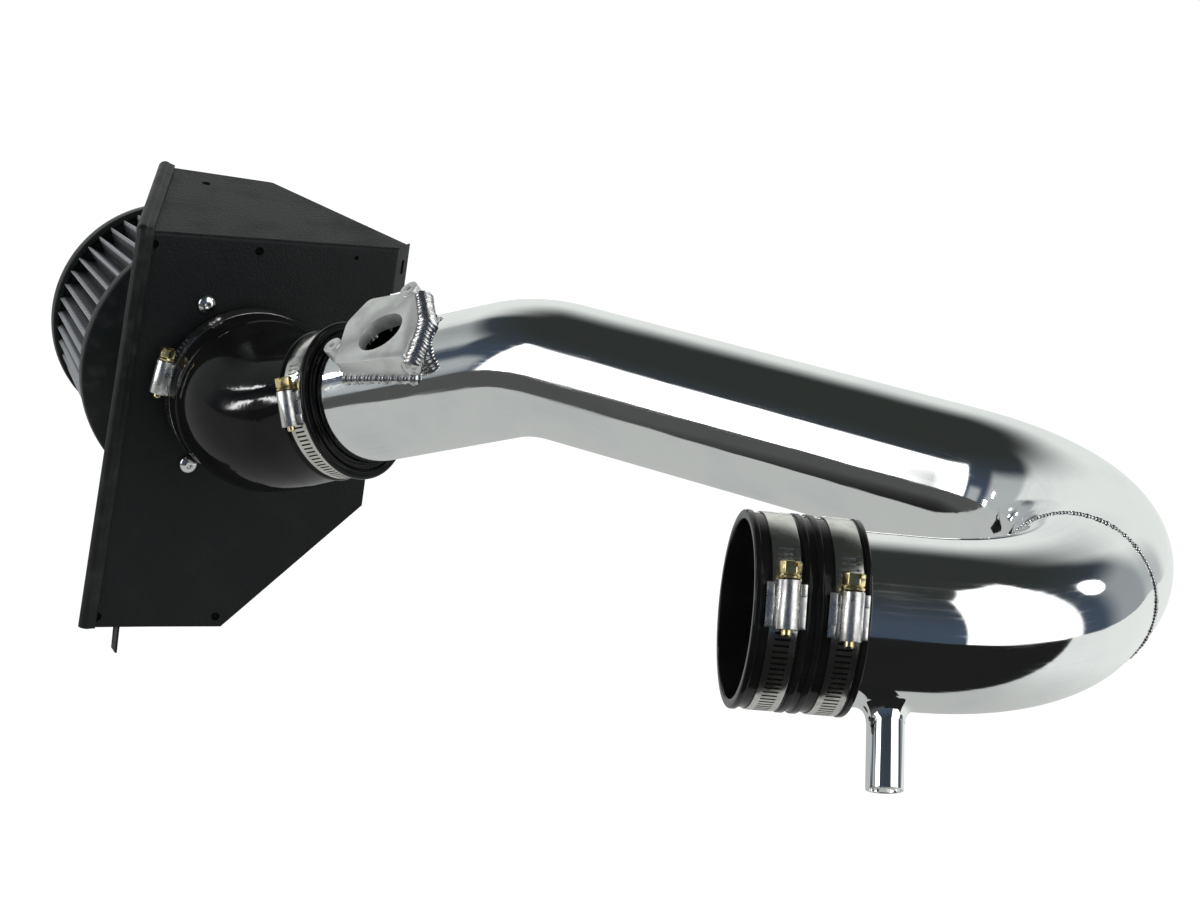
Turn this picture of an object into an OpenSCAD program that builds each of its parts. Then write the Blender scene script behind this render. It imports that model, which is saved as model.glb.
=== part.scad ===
// Cold air intake pipe: a bent aluminium tube with a welded sensor flange and a vent nipple,
// a straight coupler at its outlet, a reducing elbow at its inlet, and a cone filter that a
// folded heat shield carries. The axis of the outlet is X, and the coupler's mouth is at the
// origin. Every piece further up the tube is placed by following the bends from there.

/* [Tube] */
// Outside diameter of the tube
tube_d = 88.9; // [84:0.1:94]
// Wall of the tube
tube_wall = 2; // [1.4:0.1:3]
// Radius of the tube's bends on the centre line
bend_r = 107.5; // [100:0.5:120]
// Straight length between the lower end and the lower bend
lower_len = 65.5; // [60:0.5:90]
// Angle of the lower bend
lower_turn = 56.5; // [50:0.5:62]
// Direction of the lower bend around the tube
lower_roll = 96; // [90:0.5:102]
// Straight length on each side of the welded seam
seam_len = 12; // [8:0.5:20]
// Angle of the upper bend
upper_turn = 90.5; // [84:0.5:96]
// Direction of the upper bend around the tube
upper_roll = -1.5; // [-6:0.5:6]
// Straight length of the long leg
long_len = 270; // [240:1:300]
// Angle of the bend before the inlet leg
inlet_turn = 24.5; // [18:0.5:30]
// Direction of the bend before the inlet leg around the tube
inlet_roll = -98.5; // [-106:0.5:-90]
// Straight length of the inlet leg up to the rubber elbow
inlet_len = 129; // [124:1:150]
// How far the tube reaches into a rubber piece
grip_len = 28; // [26:0.5:30]
// Width of the weld bead around the seam
seam_w = 6; // [4:0.5:8]
// Height of the weld beads
bead_h = 1.6; // [1:0.1:2.4]

/* [Vent nipple] */
// Outside diameter of the nipple
nipple_d = 19.05; // [16:0.05:22]
// Wall of the nipple
nipple_wall = 1.6; // [1:0.1:2.4]
// Distance of the nipple from the coupler's mouth
nipple_x = 78; // [74:0.5:82]
// Distance of the nipple's open end from the tube's centre line
nipple_reach = 86; // [70:1:100]
// Direction of the nipple around the tube
nipple_roll = -33; // [-40:1:-26]
// Leg of the fillet weld around the nipple
nipple_weld = 6; // [4:0.5:8]

/* [Sensor flange] */
// Radius of the sensor bore
sensor_r = 17; // [14:0.5:19]
// Distance of the sensor bore from the rubber elbow's lip
sensor_pos = 58; // [54:0.5:66]
// Direction of the sensor flange around the tube
sensor_roll = 156; // [150:1:164]
// Height of the flange's face above the tube's crown
sensor_rise = 8; // [6:0.5:12]
// Radius of the screw ears
ear_r = 6.5; // [5.5:0.5:8]
// Radius of the screw holes in the ears
ear_hole_r = 2; // [1.5:0.1:2.5]
// Distance between the two ear holes
ear_span = 63; // [60:0.5:66]
// Height of the ears' bosses above the flange's face
ear_rise = 1.2; // [0.5:0.1:3]

/* [Outlet coupler] */
// Length of the coupler
coupler_len = 58; // [56:0.5:66]
// Wall of the coupler
coupler_wall = 4.4; // [3.5:0.1:6]
// Play of the throttle's neck in the coupler's mouth
neck_play = 0.8; // [0.6:0.05:1.2]
// Height of the coupler's ribs and lips
rib_h = 1.2; // [0.6:0.1:2]
// Width of one rib
rib_w = 3.2; // [2:0.1:4]

/* [Clamps] */
// Width of the clamp bands
band_w = 14.2; // [10:0.1:16]
// Thickness of the clamp bands
band_t = 0.8; // [0.6:0.05:1.2]
// Distance between two slots along a band
slot_pitch = 3.2; // [2.8:0.1:4]
// Width of one slot
slot_w = 1.3; // [0.9:0.1:1.6]
// Length of one slot across the band
slot_l = 7.6; // [5:0.1:9]
// Number of slots that follow the housing on a band
slot_count = 22; // [8:1:30]
// Length of the screw housings
housing_l = 25; // [20:0.5:30]
// Width of the screw housings
housing_w = 16.4; // [15:0.1:16.6]
// Radius of the clamp screws over the thread
screw_r = 3.9; // [3:0.1:4.5]
// Width of the clamp screws' hexagon heads across the flats
head_af = 10; // [8:0.5:12]
// Height of the clamp screws' heads
head_h = 6.2; // [4:0.1:8]
// Distance of the mouth clamp from the coupler's mouth
mouth_z = 15.2; // [13:0.1:15.6]
// Direction of the mouth clamp's housing around the coupler
mouth_roll = 248; // [236:1:260]
// Direction of the tube clamp's housing around the coupler
tube_roll = 251; // [238:1:262]
// Direction of the inlet clamp's housing around the elbow
inlet_clamp_roll = 108; // [96:1:120]
// Direction of the adapter clamp's housing around the elbow
adapter_roll = 172; // [160:1:184]
// Direction of the filter clamp's housing around the filter's neck
filter_roll = 200; // [180:1:220]

/* [Rubber elbow] */
// Wall of the elbow's cuffs at the tube
cuff_wall = 6.4; // [5:0.1:8]
// Height of the lip at the elbow's small end
cuff_lip = 3.4; // [2:0.1:5]
// Straight length of the elbow's small end
small_len = 45; // [40:0.5:60]
// Radius of the elbow's bend
elbow_r = 90; // [84:0.5:110]
// Angle of the elbow's bend
elbow_turn = 38; // [30:0.5:46]
// Direction of the elbow's bend around its small end
elbow_roll = -107.5; // [-114:0.5:-100]
// Straight length of the elbow's large end ahead of its clamp
shoulder_len = 21; // [18:0.5:30]
// Length of the elbow's large cuff
large_cuff = 22; // [18:0.5:24]
// Wall of the elbow's large cuff
large_wall = 3.2; // [2.4:0.1:4.5]

/* [Adapter and fasteners] */
// Outside diameter of the filter adapter
adapter_d = 114.3; // [110:0.1:118]
// Wall of the filter adapter
adapter_wall = 3; // [2:0.1:4]
// Thickness of the adapter's flange
flange_t = 4; // [3:0.5:6]
// Radius of the circle of shield screws
screw_circle_r = 69; // [67:0.5:72]
// Number of shield screws
screw_count = 3; // [3:1:6]
// Shank radius of the shield screws
bolt_r = 4; // [3:0.1:4]
// Head radius of the shield screws
bolt_head_r = 6.8; // [6:0.1:7]

/* [Heat shield] */
// Thickness of the sheet
sheet_t = 1.5; // [1:0.1:2]
// Width of the main panel along its upper fold
panel_w = 189; // [180:1:200]
// Height of the main panel below its upper fold
panel_h = 294; // [284:1:304]
// Gap between the filter's base and the top of the upper fold
fold_gap = 2.5; // [2:0.5:12]
// Distance of the trimmed edge from the adapter's axis at the upper fold
trim_side = 85; // [80:0.5:92]
// Sideways slant of the trimmed edge over the panel's height
trim_slant = 12; // [4:0.5:20]
// Height of the panel's slanted lower corner
corner_h = 97; // [80:1:110]
// Width of the panel's slanted lower corner
corner_w = 99; // [80:1:110]
// Angle of the upper fold
top_fold = 80; // [76:1:86]
// Depth of the top panel at the trimmed edge
top_depth = 136; // [120:1:150]
// Sideways slant of the top panel's trimmed edge
top_slant = 49; // [40:1:60]
// Length of the top panel's rear edge
top_rear = 80; // [70:1:90]
// Inner radius of the folds
fold_r = 2; // [1:0.1:4]
// Width of the slotted side tab
tab_w = 21; // [16:1:26]
// Height of the slotted side tab
tab_h = 31; // [26:1:40]
// Angle of the side tab's fold
tab_turn = 45; // [30:1:60]
// Distance of the foot from the trimmed edge
foot_in = 8; // [6:0.5:20]
// Width of the foot's flange
foot_w = 18; // [12:0.5:24]
// Length of the foot's tab
foot_l = 21; // [10:0.5:30]
// Depth of the foot
foot_d = 12; // [8:0.5:20]
// Gap between the elbow's large cuff and the panel
panel_gap = 4; // [3:0.5:8]
// Radius of the panel's mounting holes
mount_r = 3.2; // [2.5:0.1:4]
// Turn of the shield around the adapter's axis
shield_roll = 40; // [34:0.5:46]
// Diameter of the edge trim's bulb
trim_d = 10; // [8:0.5:12]

/* [Filter] */
// Outer radius of the filter's rubber base
base_r = 106; // [100:0.5:110]
// Thickness of the filter's rubber base
base_t = 22; // [18:0.5:26]
// Distance of the filter's base behind the panel
base_back = 39; // [36:0.5:44]
// Outer radius of the filter's far cap
cap_r = 92; // [84:0.5:98]
// Thickness of the filter's far cap
cap_t = 10; // [8:0.5:14]
// Length of the pleated part
pleat_len = 146; // [120:1:170]
// Depth of the pleats
pleat_depth = 12; // [8:0.5:16]
// Number of pleats
pleat_count = 48; // [36:1:72]
// Wall of the filter's neck
neck_wall = 4; // [3:0.1:5]

/* [Hidden] */
$fn = 96;

// Clearance of a fit, of a seat and of a weld's root
fit = 0.1;
// Length by which a cut passes its face
over = 1;
// Lap of a straight run over the end of a bend, and the hair by which the bend is thinner
lap = 2;
bend_step = 0.2;
// Lap of a flat sheet over the upper fold, and the hair by which the fold is thinner
fold_lap = 0.3;
fold_step = 0.1;
// Gap between a clamp's housing and the lip or rib beside it
clamp_gap = 0.3;
// Half of the gap between the coupler's two ribs
rib_gap = 0.6;
// Run over which the elbow's lip falls to the cuff
lip_fall = 0.6;

tube_r = tube_d / 2;
bore_r = tube_r - tube_wall;
tube_start = coupler_len - grip_len;
coupler_r = tube_r + fit + coupler_wall;
cuff_r = tube_r + fit + cuff_wall;
lip_r = cuff_r + cuff_lip;
adapter_r = adapter_d / 2;
large_r = adapter_r + fit + large_wall;
rim_r = large_r + band_t + 2 * fit;
neck_r = adapter_r + fit + neck_wall;
neck_len = shoulder_len + large_cuff + panel_gap;
// Depth of the adapter's seat inside the elbow, ahead of the large cuff
adapter_seat = 7;
adapter_front = neck_len - shoulder_len + adapter_seat;
adapter_back = base_back + base_t;
flange_back = sheet_t + fit + flange_t;
flange_r = screw_circle_r + bolt_head_r + 2;
// Height of the shield nuts and of the shield screws' heads, and the reach past the nuts
nut_h = 6.5;
head_rise = 4.4;
shank_out = 2;
neck_front = flange_back + fit + nut_h + shank_out + 1;

// Places of the clamps along the rubber, and of the place where the elbow starts to widen
tube_z = coupler_len - rib_w - clamp_gap - housing_w / 2;
inlet_z = rib_w + lip_fall + clamp_gap + housing_w / 2;
cuff_flat = inlet_z + housing_w / 2 + clamp_gap;
adapter_z = panel_gap + large_cuff - clamp_gap - housing_w / 2;
filter_z = neck_front + clamp_gap + housing_w / 2;
screw_lift = screw_r + 1.6;

// The nipple's root is thicker than its tube, and ends level with its weld
root_r = nipple_d / 2 + 1;
root_top = tube_r + nipple_weld;

// Sides and bend steps of the elbow's skin, and the factor that keeps its flats off a circle
sides = 48;
elbow_steps = 10;
flat = 1 / cos(180 / sides);

// The sensor flange's face, its outline, the middle between its ears and their direction
sensor_top = tube_r + sensor_rise;
flange_points = [[-29, -23], [34, -31], [30, 4], [12, 36], [-28, 38], [-38, 18]];
ear_mid = [-16, 17];
ear_angle = 43;
boss_t = 6;

// How far the flange's two welds lie below its face, and the radius of these welds
weld_sink = [12, 10];
weld_r = 1.6 * bead_h;

// Edges of the shield's panel, places of its holes, and the cuts across the top panel's corners
fold_rise = base_r + fold_gap;
top_fold_y = fold_rise - fold_r;
right_x = panel_w - trim_side;
bottom_y = fold_rise - panel_h;
low_x = -trim_side - trim_slant;
fold_z = -sheet_t - fold_r;
hole_in = 8;
hole_x = [hole_in - trim_side, 0];
small_hole_in = 30;
top_hole = [top_slant - trim_side + 24, top_depth - 30];
top_cut = [12, 10];
rear_cut = 16;
// Lap of the side tab over the panel
tab_lap = sheet_t * tan(tab_turn / 2);
// How far the edge trim reaches over the sheet, and how much wider its corner is
grip_in = 7;
corner_swell = 0.3;

// Inset of the pleats from the filter's base, their wall and their taper to the cap
pleat_inset = 4;
pleat_wall = 3;
cap_rim = 12;
pleat_taper = (cap_r - pleat_inset) / (base_r - pleat_inset);

steel = "silver";
polished = "gainsboro";
black = [0.12, 0.12, 0.13];

// Frames along the tube, each with Z along the centre line away from the outlet
module at_mouth() rotate([0, 90, 0]) children();

module past_bend(radius, turn, roll)
    rotate([0, 0, roll])
        translate([radius * (1 - cos(turn)), 0, radius * sin(turn)])
            rotate([0, turn, 0]) children();

module at_lower_bend() at_mouth() translate([0, 0, tube_start + lower_len]) children();

module at_seam()
    at_lower_bend() past_bend(bend_r, lower_turn, lower_roll)
        translate([0, 0, seam_len]) children();

module at_long_leg()
    at_seam() translate([0, 0, seam_len]) past_bend(bend_r, upper_turn, upper_roll) children();

module at_inlet_leg()
    at_long_leg() translate([0, 0, long_len]) past_bend(bend_r, inlet_turn, inlet_roll) children();

module at_elbow() at_inlet_leg() translate([0, 0, inlet_len]) children();

// The panel's frame has its front face at Z = 0, X to the right, Y up and Z toward the tube
module at_panel()
    at_elbow() translate([0, 0, small_len]) past_bend(elbow_r, elbow_turn, elbow_roll)
        translate([0, 0, neck_len]) rotate([180, 0, shield_roll]) children();

module ring(r_out, r_in, length)
    linear_extrude(length) difference() {
        circle(r_out);
        circle(r_in);
    }

// A straight run of tube that reaches into the bend before it and the bend after it
module run(length, before, after) translate([0, 0, -before]) ring(tube_r, bore_r, length + before + after);

// A bend is thinner than the straight runs by a hair on each face, and they lap over its ends
module bent_tube(turn, roll)
    rotate([0, 0, roll]) translate([bend_r, 0, 0]) rotate([90, 0, 0]) rotate([0, 0, 180 - turn])
        rotate_extrude(angle = turn) translate([bend_r, 0]) difference() {
            circle(tube_r - bend_step);
            circle(bore_r + bend_step);
        }

// The lower piece of the tube, from the outlet to the welded seam
module lower_tube() color(polished) difference() {
    union() {
        at_mouth() translate([0, 0, tube_start]) run(lower_len, 0, lap);
        at_lower_bend() bent_tube(lower_turn, lower_roll);
        at_seam() translate([0, 0, -seam_len]) run(seam_len - fit / 2, lap, 0);
    }
    at_nipple() cylinder(r = nipple_d / 2 - nipple_wall, h = tube_d);
}

// The upper piece of the tube, from the welded seam to the rubber elbow
module upper_tube() color(polished) difference() {
    union() {
        at_seam() translate([0, 0, fit / 2]) run(seam_len - fit / 2, 0, lap);
        at_seam() translate([0, 0, seam_len]) bent_tube(upper_turn, upper_roll);
        at_long_leg() run(long_len, lap, lap);
        at_long_leg() translate([0, 0, long_len]) bent_tube(inlet_turn, inlet_roll);
        at_inlet_leg() run(inlet_len + grip_len, lap, 0);
    }
    at_sensor() translate([0, 0, tube_r / 2]) cylinder(r = sensor_r, h = tube_d);
}

module seam_weld() color(polished)
    at_seam() rotate_extrude() translate([tube_r + fit, 0]) intersection() {
        bead_arc(seam_w / 2, bead_h);
        translate([0, -seam_w]) square([seam_w, 2 * seam_w]);
    }

// A shallow bead's section: an arc through both edges and the crown
module bead_arc(half_w, height) {
    arc_r = (half_w * half_w + height * height) / (2 * height);
    translate([height - arc_r, 0]) circle(arc_r);
}

// The nipple's frame has Z outward along its axis
module at_nipple()
    at_mouth() translate([0, 0, nipple_x]) rotate([0, 0, nipple_roll]) rotate([0, 90, 0]) children();

module outside_lower_leg(gap)
    at_mouth() translate([0, 0, tube_start]) cylinder(r = tube_r + gap, h = lower_len + bend_r);

module vent_nipple() color(polished) difference() {
    at_nipple() difference() {
        union() {
            cylinder(r = nipple_d / 2, h = nipple_reach);
            cylinder(r = root_r, h = root_top);
        }
        translate([0, 0, -over]) cylinder(r = nipple_d / 2 - nipple_wall, h = nipple_reach + 2 * over);
    }
    outside_lower_leg(fit);
}

module vent_weld() color(polished) difference() {
    at_nipple() translate([0, 0, bore_r]) difference() {
        union() {
            cylinder(r = root_r + nipple_weld, h = tube_wall);
            translate([0, 0, tube_wall])
                cylinder(r1 = root_r + nipple_weld, r2 = root_r + bead_h / 2, h = nipple_weld);
        }
        translate([0, 0, -over]) cylinder(r = root_r + fit, h = nipple_weld + tube_wall + 2 * over);
    }
    outside_lower_leg(fit);
}

// The sensor flange's frame has Z outward, X back toward the bend and Y across the tube
module at_sensor()
    at_inlet_leg() translate([0, 0, inlet_len - sensor_pos])
        rotate([0, 0, sensor_roll]) rotate([0, 90, 0]) children();

module at_ears()
    for (side = [-1, 1])
        translate(ear_mid) rotate([0, 0, ear_angle]) translate([side * ear_span / 2, 0]) children();

module inlet_leg_solid(gap)
    at_inlet_leg() translate([0, 0, -over]) cylinder(r = tube_r + gap, h = inlet_len + 2 * over);

module sensor_flange() color(polished) difference() {
    at_sensor() difference() {
        union() {
            translate([0, 0, tube_r / 2]) linear_extrude(sensor_top - tube_r / 2) polygon(flange_points);
            translate([0, 0, sensor_top - boss_t]) at_ears() cylinder(r = ear_r, h = boss_t + ear_rise);
        }
        translate([0, 0, tube_r / 2 - over]) cylinder(r = sensor_r, h = tube_d);
        translate([0, 0, sensor_top - boss_t - over]) at_ears()
            cylinder(r = ear_hole_r, h = boss_t + ear_rise + 2 * over);
    }
    inlet_leg_solid(fit);
}

module weld_bar(from, to, depth) {
    run = to - from;
    translate([from[0], from[1], depth]) rotate([0, 90, atan2(run[1], run[0])])
        cylinder(r = weld_r, h = norm(run));
}

module flange_weld() color(polished) difference() {
    at_sensor() {
        weld_bar(flange_points[0], flange_points[1], sensor_top - weld_sink[0]);
        weld_bar(flange_points[1], flange_points[2], sensor_top - weld_sink[1]);
    }
    at_sensor() linear_extrude(tube_d) offset(delta = fit) polygon(flange_points);
    inlet_leg_solid(fit);
}

// The straight coupler on the outlet, with a lip at each end and two ribs in the middle
module outlet_coupler() color(black) at_mouth() difference() {
    union() {
        cylinder(r = coupler_r, h = coupler_len);
        for (z = [0, coupler_len / 2 - rib_w - rib_gap, coupler_len / 2 + rib_gap, coupler_len - rib_w])
            translate([0, 0, z]) cylinder(r = coupler_r + rib_h, h = rib_w);
    }
    translate([0, 0, -over]) cylinder(r = tube_r + fit, h = coupler_len + 2 * over);
    translate([0, 0, -over]) cylinder(r = tube_r + neck_play, h = tube_start + over);
}

// Clamps: Z is the clamp's axis and X points at the middle of the screw housing
module band(seat_r, side) {
    r_in = seat_r + fit;
    step = slot_pitch / r_in * 180 / PI;
    color(steel) difference() {
        union() {
            translate([0, 0, -band_w / 2]) ring(r_in + band_t, r_in, band_w);
            rotate([0, 0, side > 0 ? 15 : -45]) translate([0, 0, -band_w / 2])
                rotate_extrude(angle = 30) translate([r_in + band_t / 2, 0]) square([1.5 * band_t, band_w]);
        }
        for (i = [6 : 5 + slot_count])
            rotate([0, 0, -side * i * step]) translate([r_in - over, -slot_w / 2, -slot_l / 2])
                cube([band_t + 2 * over, slot_w, slot_l]);
    }
}

module housing(seat_r) {
    r_out = seat_r + fit + band_t;
    color(steel) difference() {
        translate([r_out, housing_l / 2, 0]) rotate([90, 0, 0]) linear_extrude(housing_l) union() {
            translate([screw_lift, 0]) circle(screw_r + 1.4);
            translate([-4, -band_w / 2]) square([screw_lift + 4, band_w]);
            translate([-4, -housing_w / 2]) square([5.6, housing_w]);
        }
        translate([r_out + screw_lift, housing_l, 0]) rotate([90, 0, 0])
            cylinder(r = screw_r + fit, h = 2 * housing_l);
        translate([0, 0, -band_w]) cylinder(r = r_out + fit, h = 2 * band_w);
    }
}

module clamp_screw(seat_r, side) {
    shank = housing_l + 3;
    color("goldenrod")
    translate([seat_r + fit + band_t + screw_lift, 0, 0]) rotate([-90 * side, 0, 0]) difference() {
        union() {
            translate([0, 0, -housing_l / 2 - 2]) cylinder(r = screw_r, h = shank);
            translate([0, 0, housing_l / 2 + 1]) cylinder(r = head_af / 2 + 0.8, h = 1);
            translate([0, 0, housing_l / 2 + 2]) cylinder(r = head_af / sqrt(3), h = head_h, $fn = 6);
        }
        translate([-head_af, -0.8, housing_l / 2 + head_h - 0.2]) cube([2 * head_af, 1.6, 4]);
    }
}

// Frames of the five clamps
module at_mouth_clamp() at_mouth() translate([0, 0, mouth_z]) rotate([0, 0, mouth_roll]) children();
module at_tube_clamp() at_mouth() translate([0, 0, tube_z]) rotate([0, 0, tube_roll]) children();
module at_inlet_clamp() at_elbow() translate([0, 0, inlet_z]) rotate([0, 0, inlet_clamp_roll]) children();
module at_adapter_clamp() at_panel() translate([0, 0, adapter_z]) rotate([0, 0, adapter_roll]) children();
module at_filter_clamp() at_panel() translate([0, 0, -filter_z]) rotate([0, 0, filter_roll]) children();

module mouth_band() at_mouth_clamp() band(coupler_r, -1);
module mouth_housing() at_mouth_clamp() housing(coupler_r);
module mouth_screw() at_mouth_clamp() clamp_screw(coupler_r, -1);
module tube_band() at_tube_clamp() band(coupler_r, -1);
module tube_housing() at_tube_clamp() housing(coupler_r);
module tube_screw() at_tube_clamp() clamp_screw(coupler_r, -1);
module inlet_band() at_inlet_clamp() band(cuff_r, 1);
module inlet_housing() at_inlet_clamp() housing(cuff_r);
module inlet_screw() at_inlet_clamp() clamp_screw(cuff_r, 1);
module adapter_band() at_adapter_clamp() band(large_r, -1);
module adapter_housing() at_adapter_clamp() housing(large_r);
module adapter_screw() at_adapter_clamp() clamp_screw(large_r, -1);
module filter_band() at_filter_clamp() band(neck_r, 1);
module filter_housing() at_filter_clamp() housing(neck_r);
module filter_screw() at_filter_clamp() clamp_screw(neck_r, 1);

// The rubber elbow is one skin swept through rings. Each ring is given by its angle in the
// bend, its straight run beyond that place and its radius: outside first, then back inside.
function blend(from, to, t) = from + (to - from) * t * t * (3 - 2 * t);
elbow_rings = concat(
    [[0, -small_len, lip_r - 1], [0, 1 - small_len, lip_r], [0, rib_w - small_len, lip_r],
     [0, rib_w + lip_fall - small_len, cuff_r], [0, cuff_flat - small_len, cuff_r],
     [0, cuff_flat + 1.4 - small_len, cuff_r + 1]],
    [for (i = [0 : elbow_steps])
        [elbow_turn * i / elbow_steps, 0, blend(cuff_r + 2, rim_r - 1, i / elbow_steps)]],
    [[elbow_turn, shoulder_len - 4, rim_r], [elbow_turn, shoulder_len, rim_r],
     [elbow_turn, shoulder_len + 0.4, large_r], [elbow_turn, shoulder_len + large_cuff, large_r],
     [elbow_turn, shoulder_len + large_cuff, (adapter_r + fit) * flat],
     [elbow_turn, shoulder_len - adapter_seat - fit, (adapter_r + fit) * flat],
     [elbow_turn, shoulder_len - adapter_seat - fit, adapter_r - adapter_wall]],
    [for (i = [elbow_steps : -1 : 0])
        [elbow_turn * i / elbow_steps, 0,
         blend(cuff_r + 2, rim_r - 1, i / elbow_steps) - cuff_wall]],
    [[0, grip_len + 2 - small_len, bore_r], [0, grip_len + fit - small_len, bore_r],
     [0, grip_len + fit - small_len, (tube_r + fit) * flat], [0, -small_len, (tube_r + fit) * flat]]
);

function ring_point(turn, run, radius, angle) = [
    elbow_r * (1 - cos(turn)) + run * sin(turn) + radius * cos(angle) * cos(turn),
    radius * sin(angle),
    elbow_r * sin(turn) + run * cos(turn) - radius * cos(angle) * sin(turn)
];

module swept_skin(rings) {
    rows = len(rings);
    points = [for (r = rings) for (k = [0 : sides - 1]) ring_point(r[0], r[1], r[2], 360 * k / sides)];
    faces = [for (i = [0 : rows - 1]) for (k = [0 : sides - 1])
        let (a = i * sides, b = (i + 1) % rows * sides, n = (k + 1) % sides)
        each [[a + k, b + k, b + n], [a + k, b + n, a + n]]];
    polyhedron(points, faces);
}

module rubber_elbow() color(black)
    at_elbow() translate([0, 0, small_len]) rotate([0, 0, elbow_roll]) swept_skin(elbow_rings);

// The adapter's tube passes through the panel and its flange lies behind the panel
module filter_adapter() color(black) at_panel() difference() {
    union() {
        translate([0, 0, -adapter_back]) cylinder(r = adapter_r, h = adapter_back + adapter_front);
        translate([0, 0, -flange_back]) cylinder(r = flange_r, h = flange_t);
    }
    translate([0, 0, -adapter_back - over])
        cylinder(r = adapter_r - adapter_wall, h = adapter_back + adapter_front + 2 * over);
    at_screws() translate([0, 0, -flange_back - over]) cylinder(r = bolt_r + fit, h = flange_t + 2 * over);
}

module at_screws()
    for (i = [0 : screw_count - 1])
        rotate([0, 0, i * 360 / screw_count]) translate([screw_circle_r, 0, 0]) children();

module shield_screws() color(steel) at_panel() at_screws() difference() {
    union() {
        translate([0, 0, -flange_back - nut_h - shank_out])
            cylinder(r = bolt_r, h = flange_back + nut_h + shank_out + over);
        translate([0, 0, fit]) button_head();
    }
    translate([0, 0, head_rise - 2.4]) cylinder(r = bolt_r * 0.62, h = 4, $fn = 6);
}

module button_head() {
    dome_r = (bolt_head_r * bolt_head_r + head_rise * head_rise) / (2 * head_rise);
    intersection() {
        translate([0, 0, head_rise - dome_r]) sphere(dome_r);
        cylinder(r = bolt_head_r, h = head_rise);
    }
}

module shield_nuts() color(steel) at_panel() at_screws()
    translate([0, 0, -flange_back - fit - nut_h]) difference() {
        cylinder(r = bolt_r * 1.85, h = nut_h, $fn = 6);
        translate([0, 0, -over]) cylinder(r = bolt_r + fit, h = nut_h + 2 * over);
    }

// The heat shield's outline, seen from the tube's side. grow thickens the sheet and moves its
// trimmed edges outward, for the slot that the edge trim has for it.
module main_panel(grow)
    translate([0, 0, -sheet_t - grow]) linear_extrude(sheet_t + 2 * grow) polygon([
        [-trim_side - grow, top_fold_y + fold_lap], [-trim_side - grow, top_fold_y],
        [low_x - grow, bottom_y], [right_x - corner_w, bottom_y],
        [right_x, bottom_y + corner_h], [right_x, top_fold_y + fold_lap]
    ]);

// The fold is thinner and shorter than the flat sheets by a hair, and they lap over its ends
module upper_fold(grow) {
    thin = fold_step - grow;
    translate([-trim_side + thin, top_fold_y, fold_z]) rotate([90, 0, 90]) rotate([0, 0, 90 - top_fold])
        rotate_extrude(angle = top_fold) translate([fold_r + thin, 0])
            square([sheet_t - 2 * thin, panel_w - 2 * thin]);
}

module at_top_panel()
    translate([0, top_fold_y, fold_z]) rotate([-top_fold, 0, 0]) translate([0, 0, fold_r]) children();

module top_panel(grow)
    at_top_panel() translate([0, 0, -grow]) linear_extrude(sheet_t + 2 * grow) polygon([
        [-trim_side - grow, -fold_lap], [right_x, -fold_lap], [right_x, 0],
        [right_x + top_cut[0], top_cut[1]],
        [-trim_side + top_slant + top_rear, top_depth - rear_cut], [-trim_side + top_slant - grow, top_depth],
        [-trim_side - grow, 0]
    ]);

module sheet_body(grow) {
    main_panel(grow);
    upper_fold(grow);
    top_panel(grow);
}

// The slotted tab that is bent back from the panel's right edge
module side_tab()
    translate([right_x, top_fold_y - tab_h, -sheet_t])
        rotate([0, tab_turn, 0]) difference() {
            translate([-tab_lap, 0, 0]) cube([tab_w + tab_lap, tab_h, sheet_t]);
            for (y = [tab_h - 15, tab_h - 9])
                translate([tab_w / 2, y, -over]) cylinder(r = 2.2, h = sheet_t + 2 * over);
            translate([tab_w / 2 - 2.2, tab_h - 15, -over]) cube([4.4, 6, sheet_t + 2 * over]);
        }

// The small foot at the lower corner: a flange bent back, and a tab that hangs from it
module foot()
    translate([low_x + foot_in, bottom_y, -sheet_t - foot_d]) {
        cube([foot_w, sheet_t, foot_d + sheet_t]);
        translate([foot_w - sheet_t, -foot_l, 0]) cube([sheet_t, foot_l + sheet_t, foot_d]);
    }

module mount_hole(x, y, radius) translate([x, y, -over]) cylinder(r = radius, h = sheet_t + 2 * over);

module heat_shield() color(black) at_panel() difference() {
    union() {
        sheet_body(0);
        side_tab();
        foot();
    }
    translate([0, 0, -over - sheet_t]) cylinder(r = adapter_r + fit, h = sheet_t + 2 * over);
    translate([0, 0, -sheet_t]) {
        at_screws() translate([0, 0, -over]) cylinder(r = bolt_r + fit, h = sheet_t + 2 * over);
        mount_hole(hole_x[0], fold_rise - hole_in, mount_r);
        mount_hole(hole_x[1], fold_rise - hole_in, mount_r);
        mount_hole(hole_x[0] - trim_slant, bottom_y + hole_in, mount_r);
        mount_hole(hole_x[1], bottom_y + hole_in, mount_r);
        mount_hole(right_x - small_hole_in, fold_rise - hole_in, mount_r / 2);
    }
    at_top_panel() mount_hole(top_hole[0], top_hole[1], mount_r);
}

// The edge trim grips the trimmed edges with a bulb outside, a grip inside and a slot between
module trim_run(length) {
    cylinder(r = trim_d / 2, h = length);
    translate([0, -trim_d * 0.35, 0]) cube([grip_in, trim_d * 0.7, length]);
}

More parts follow.
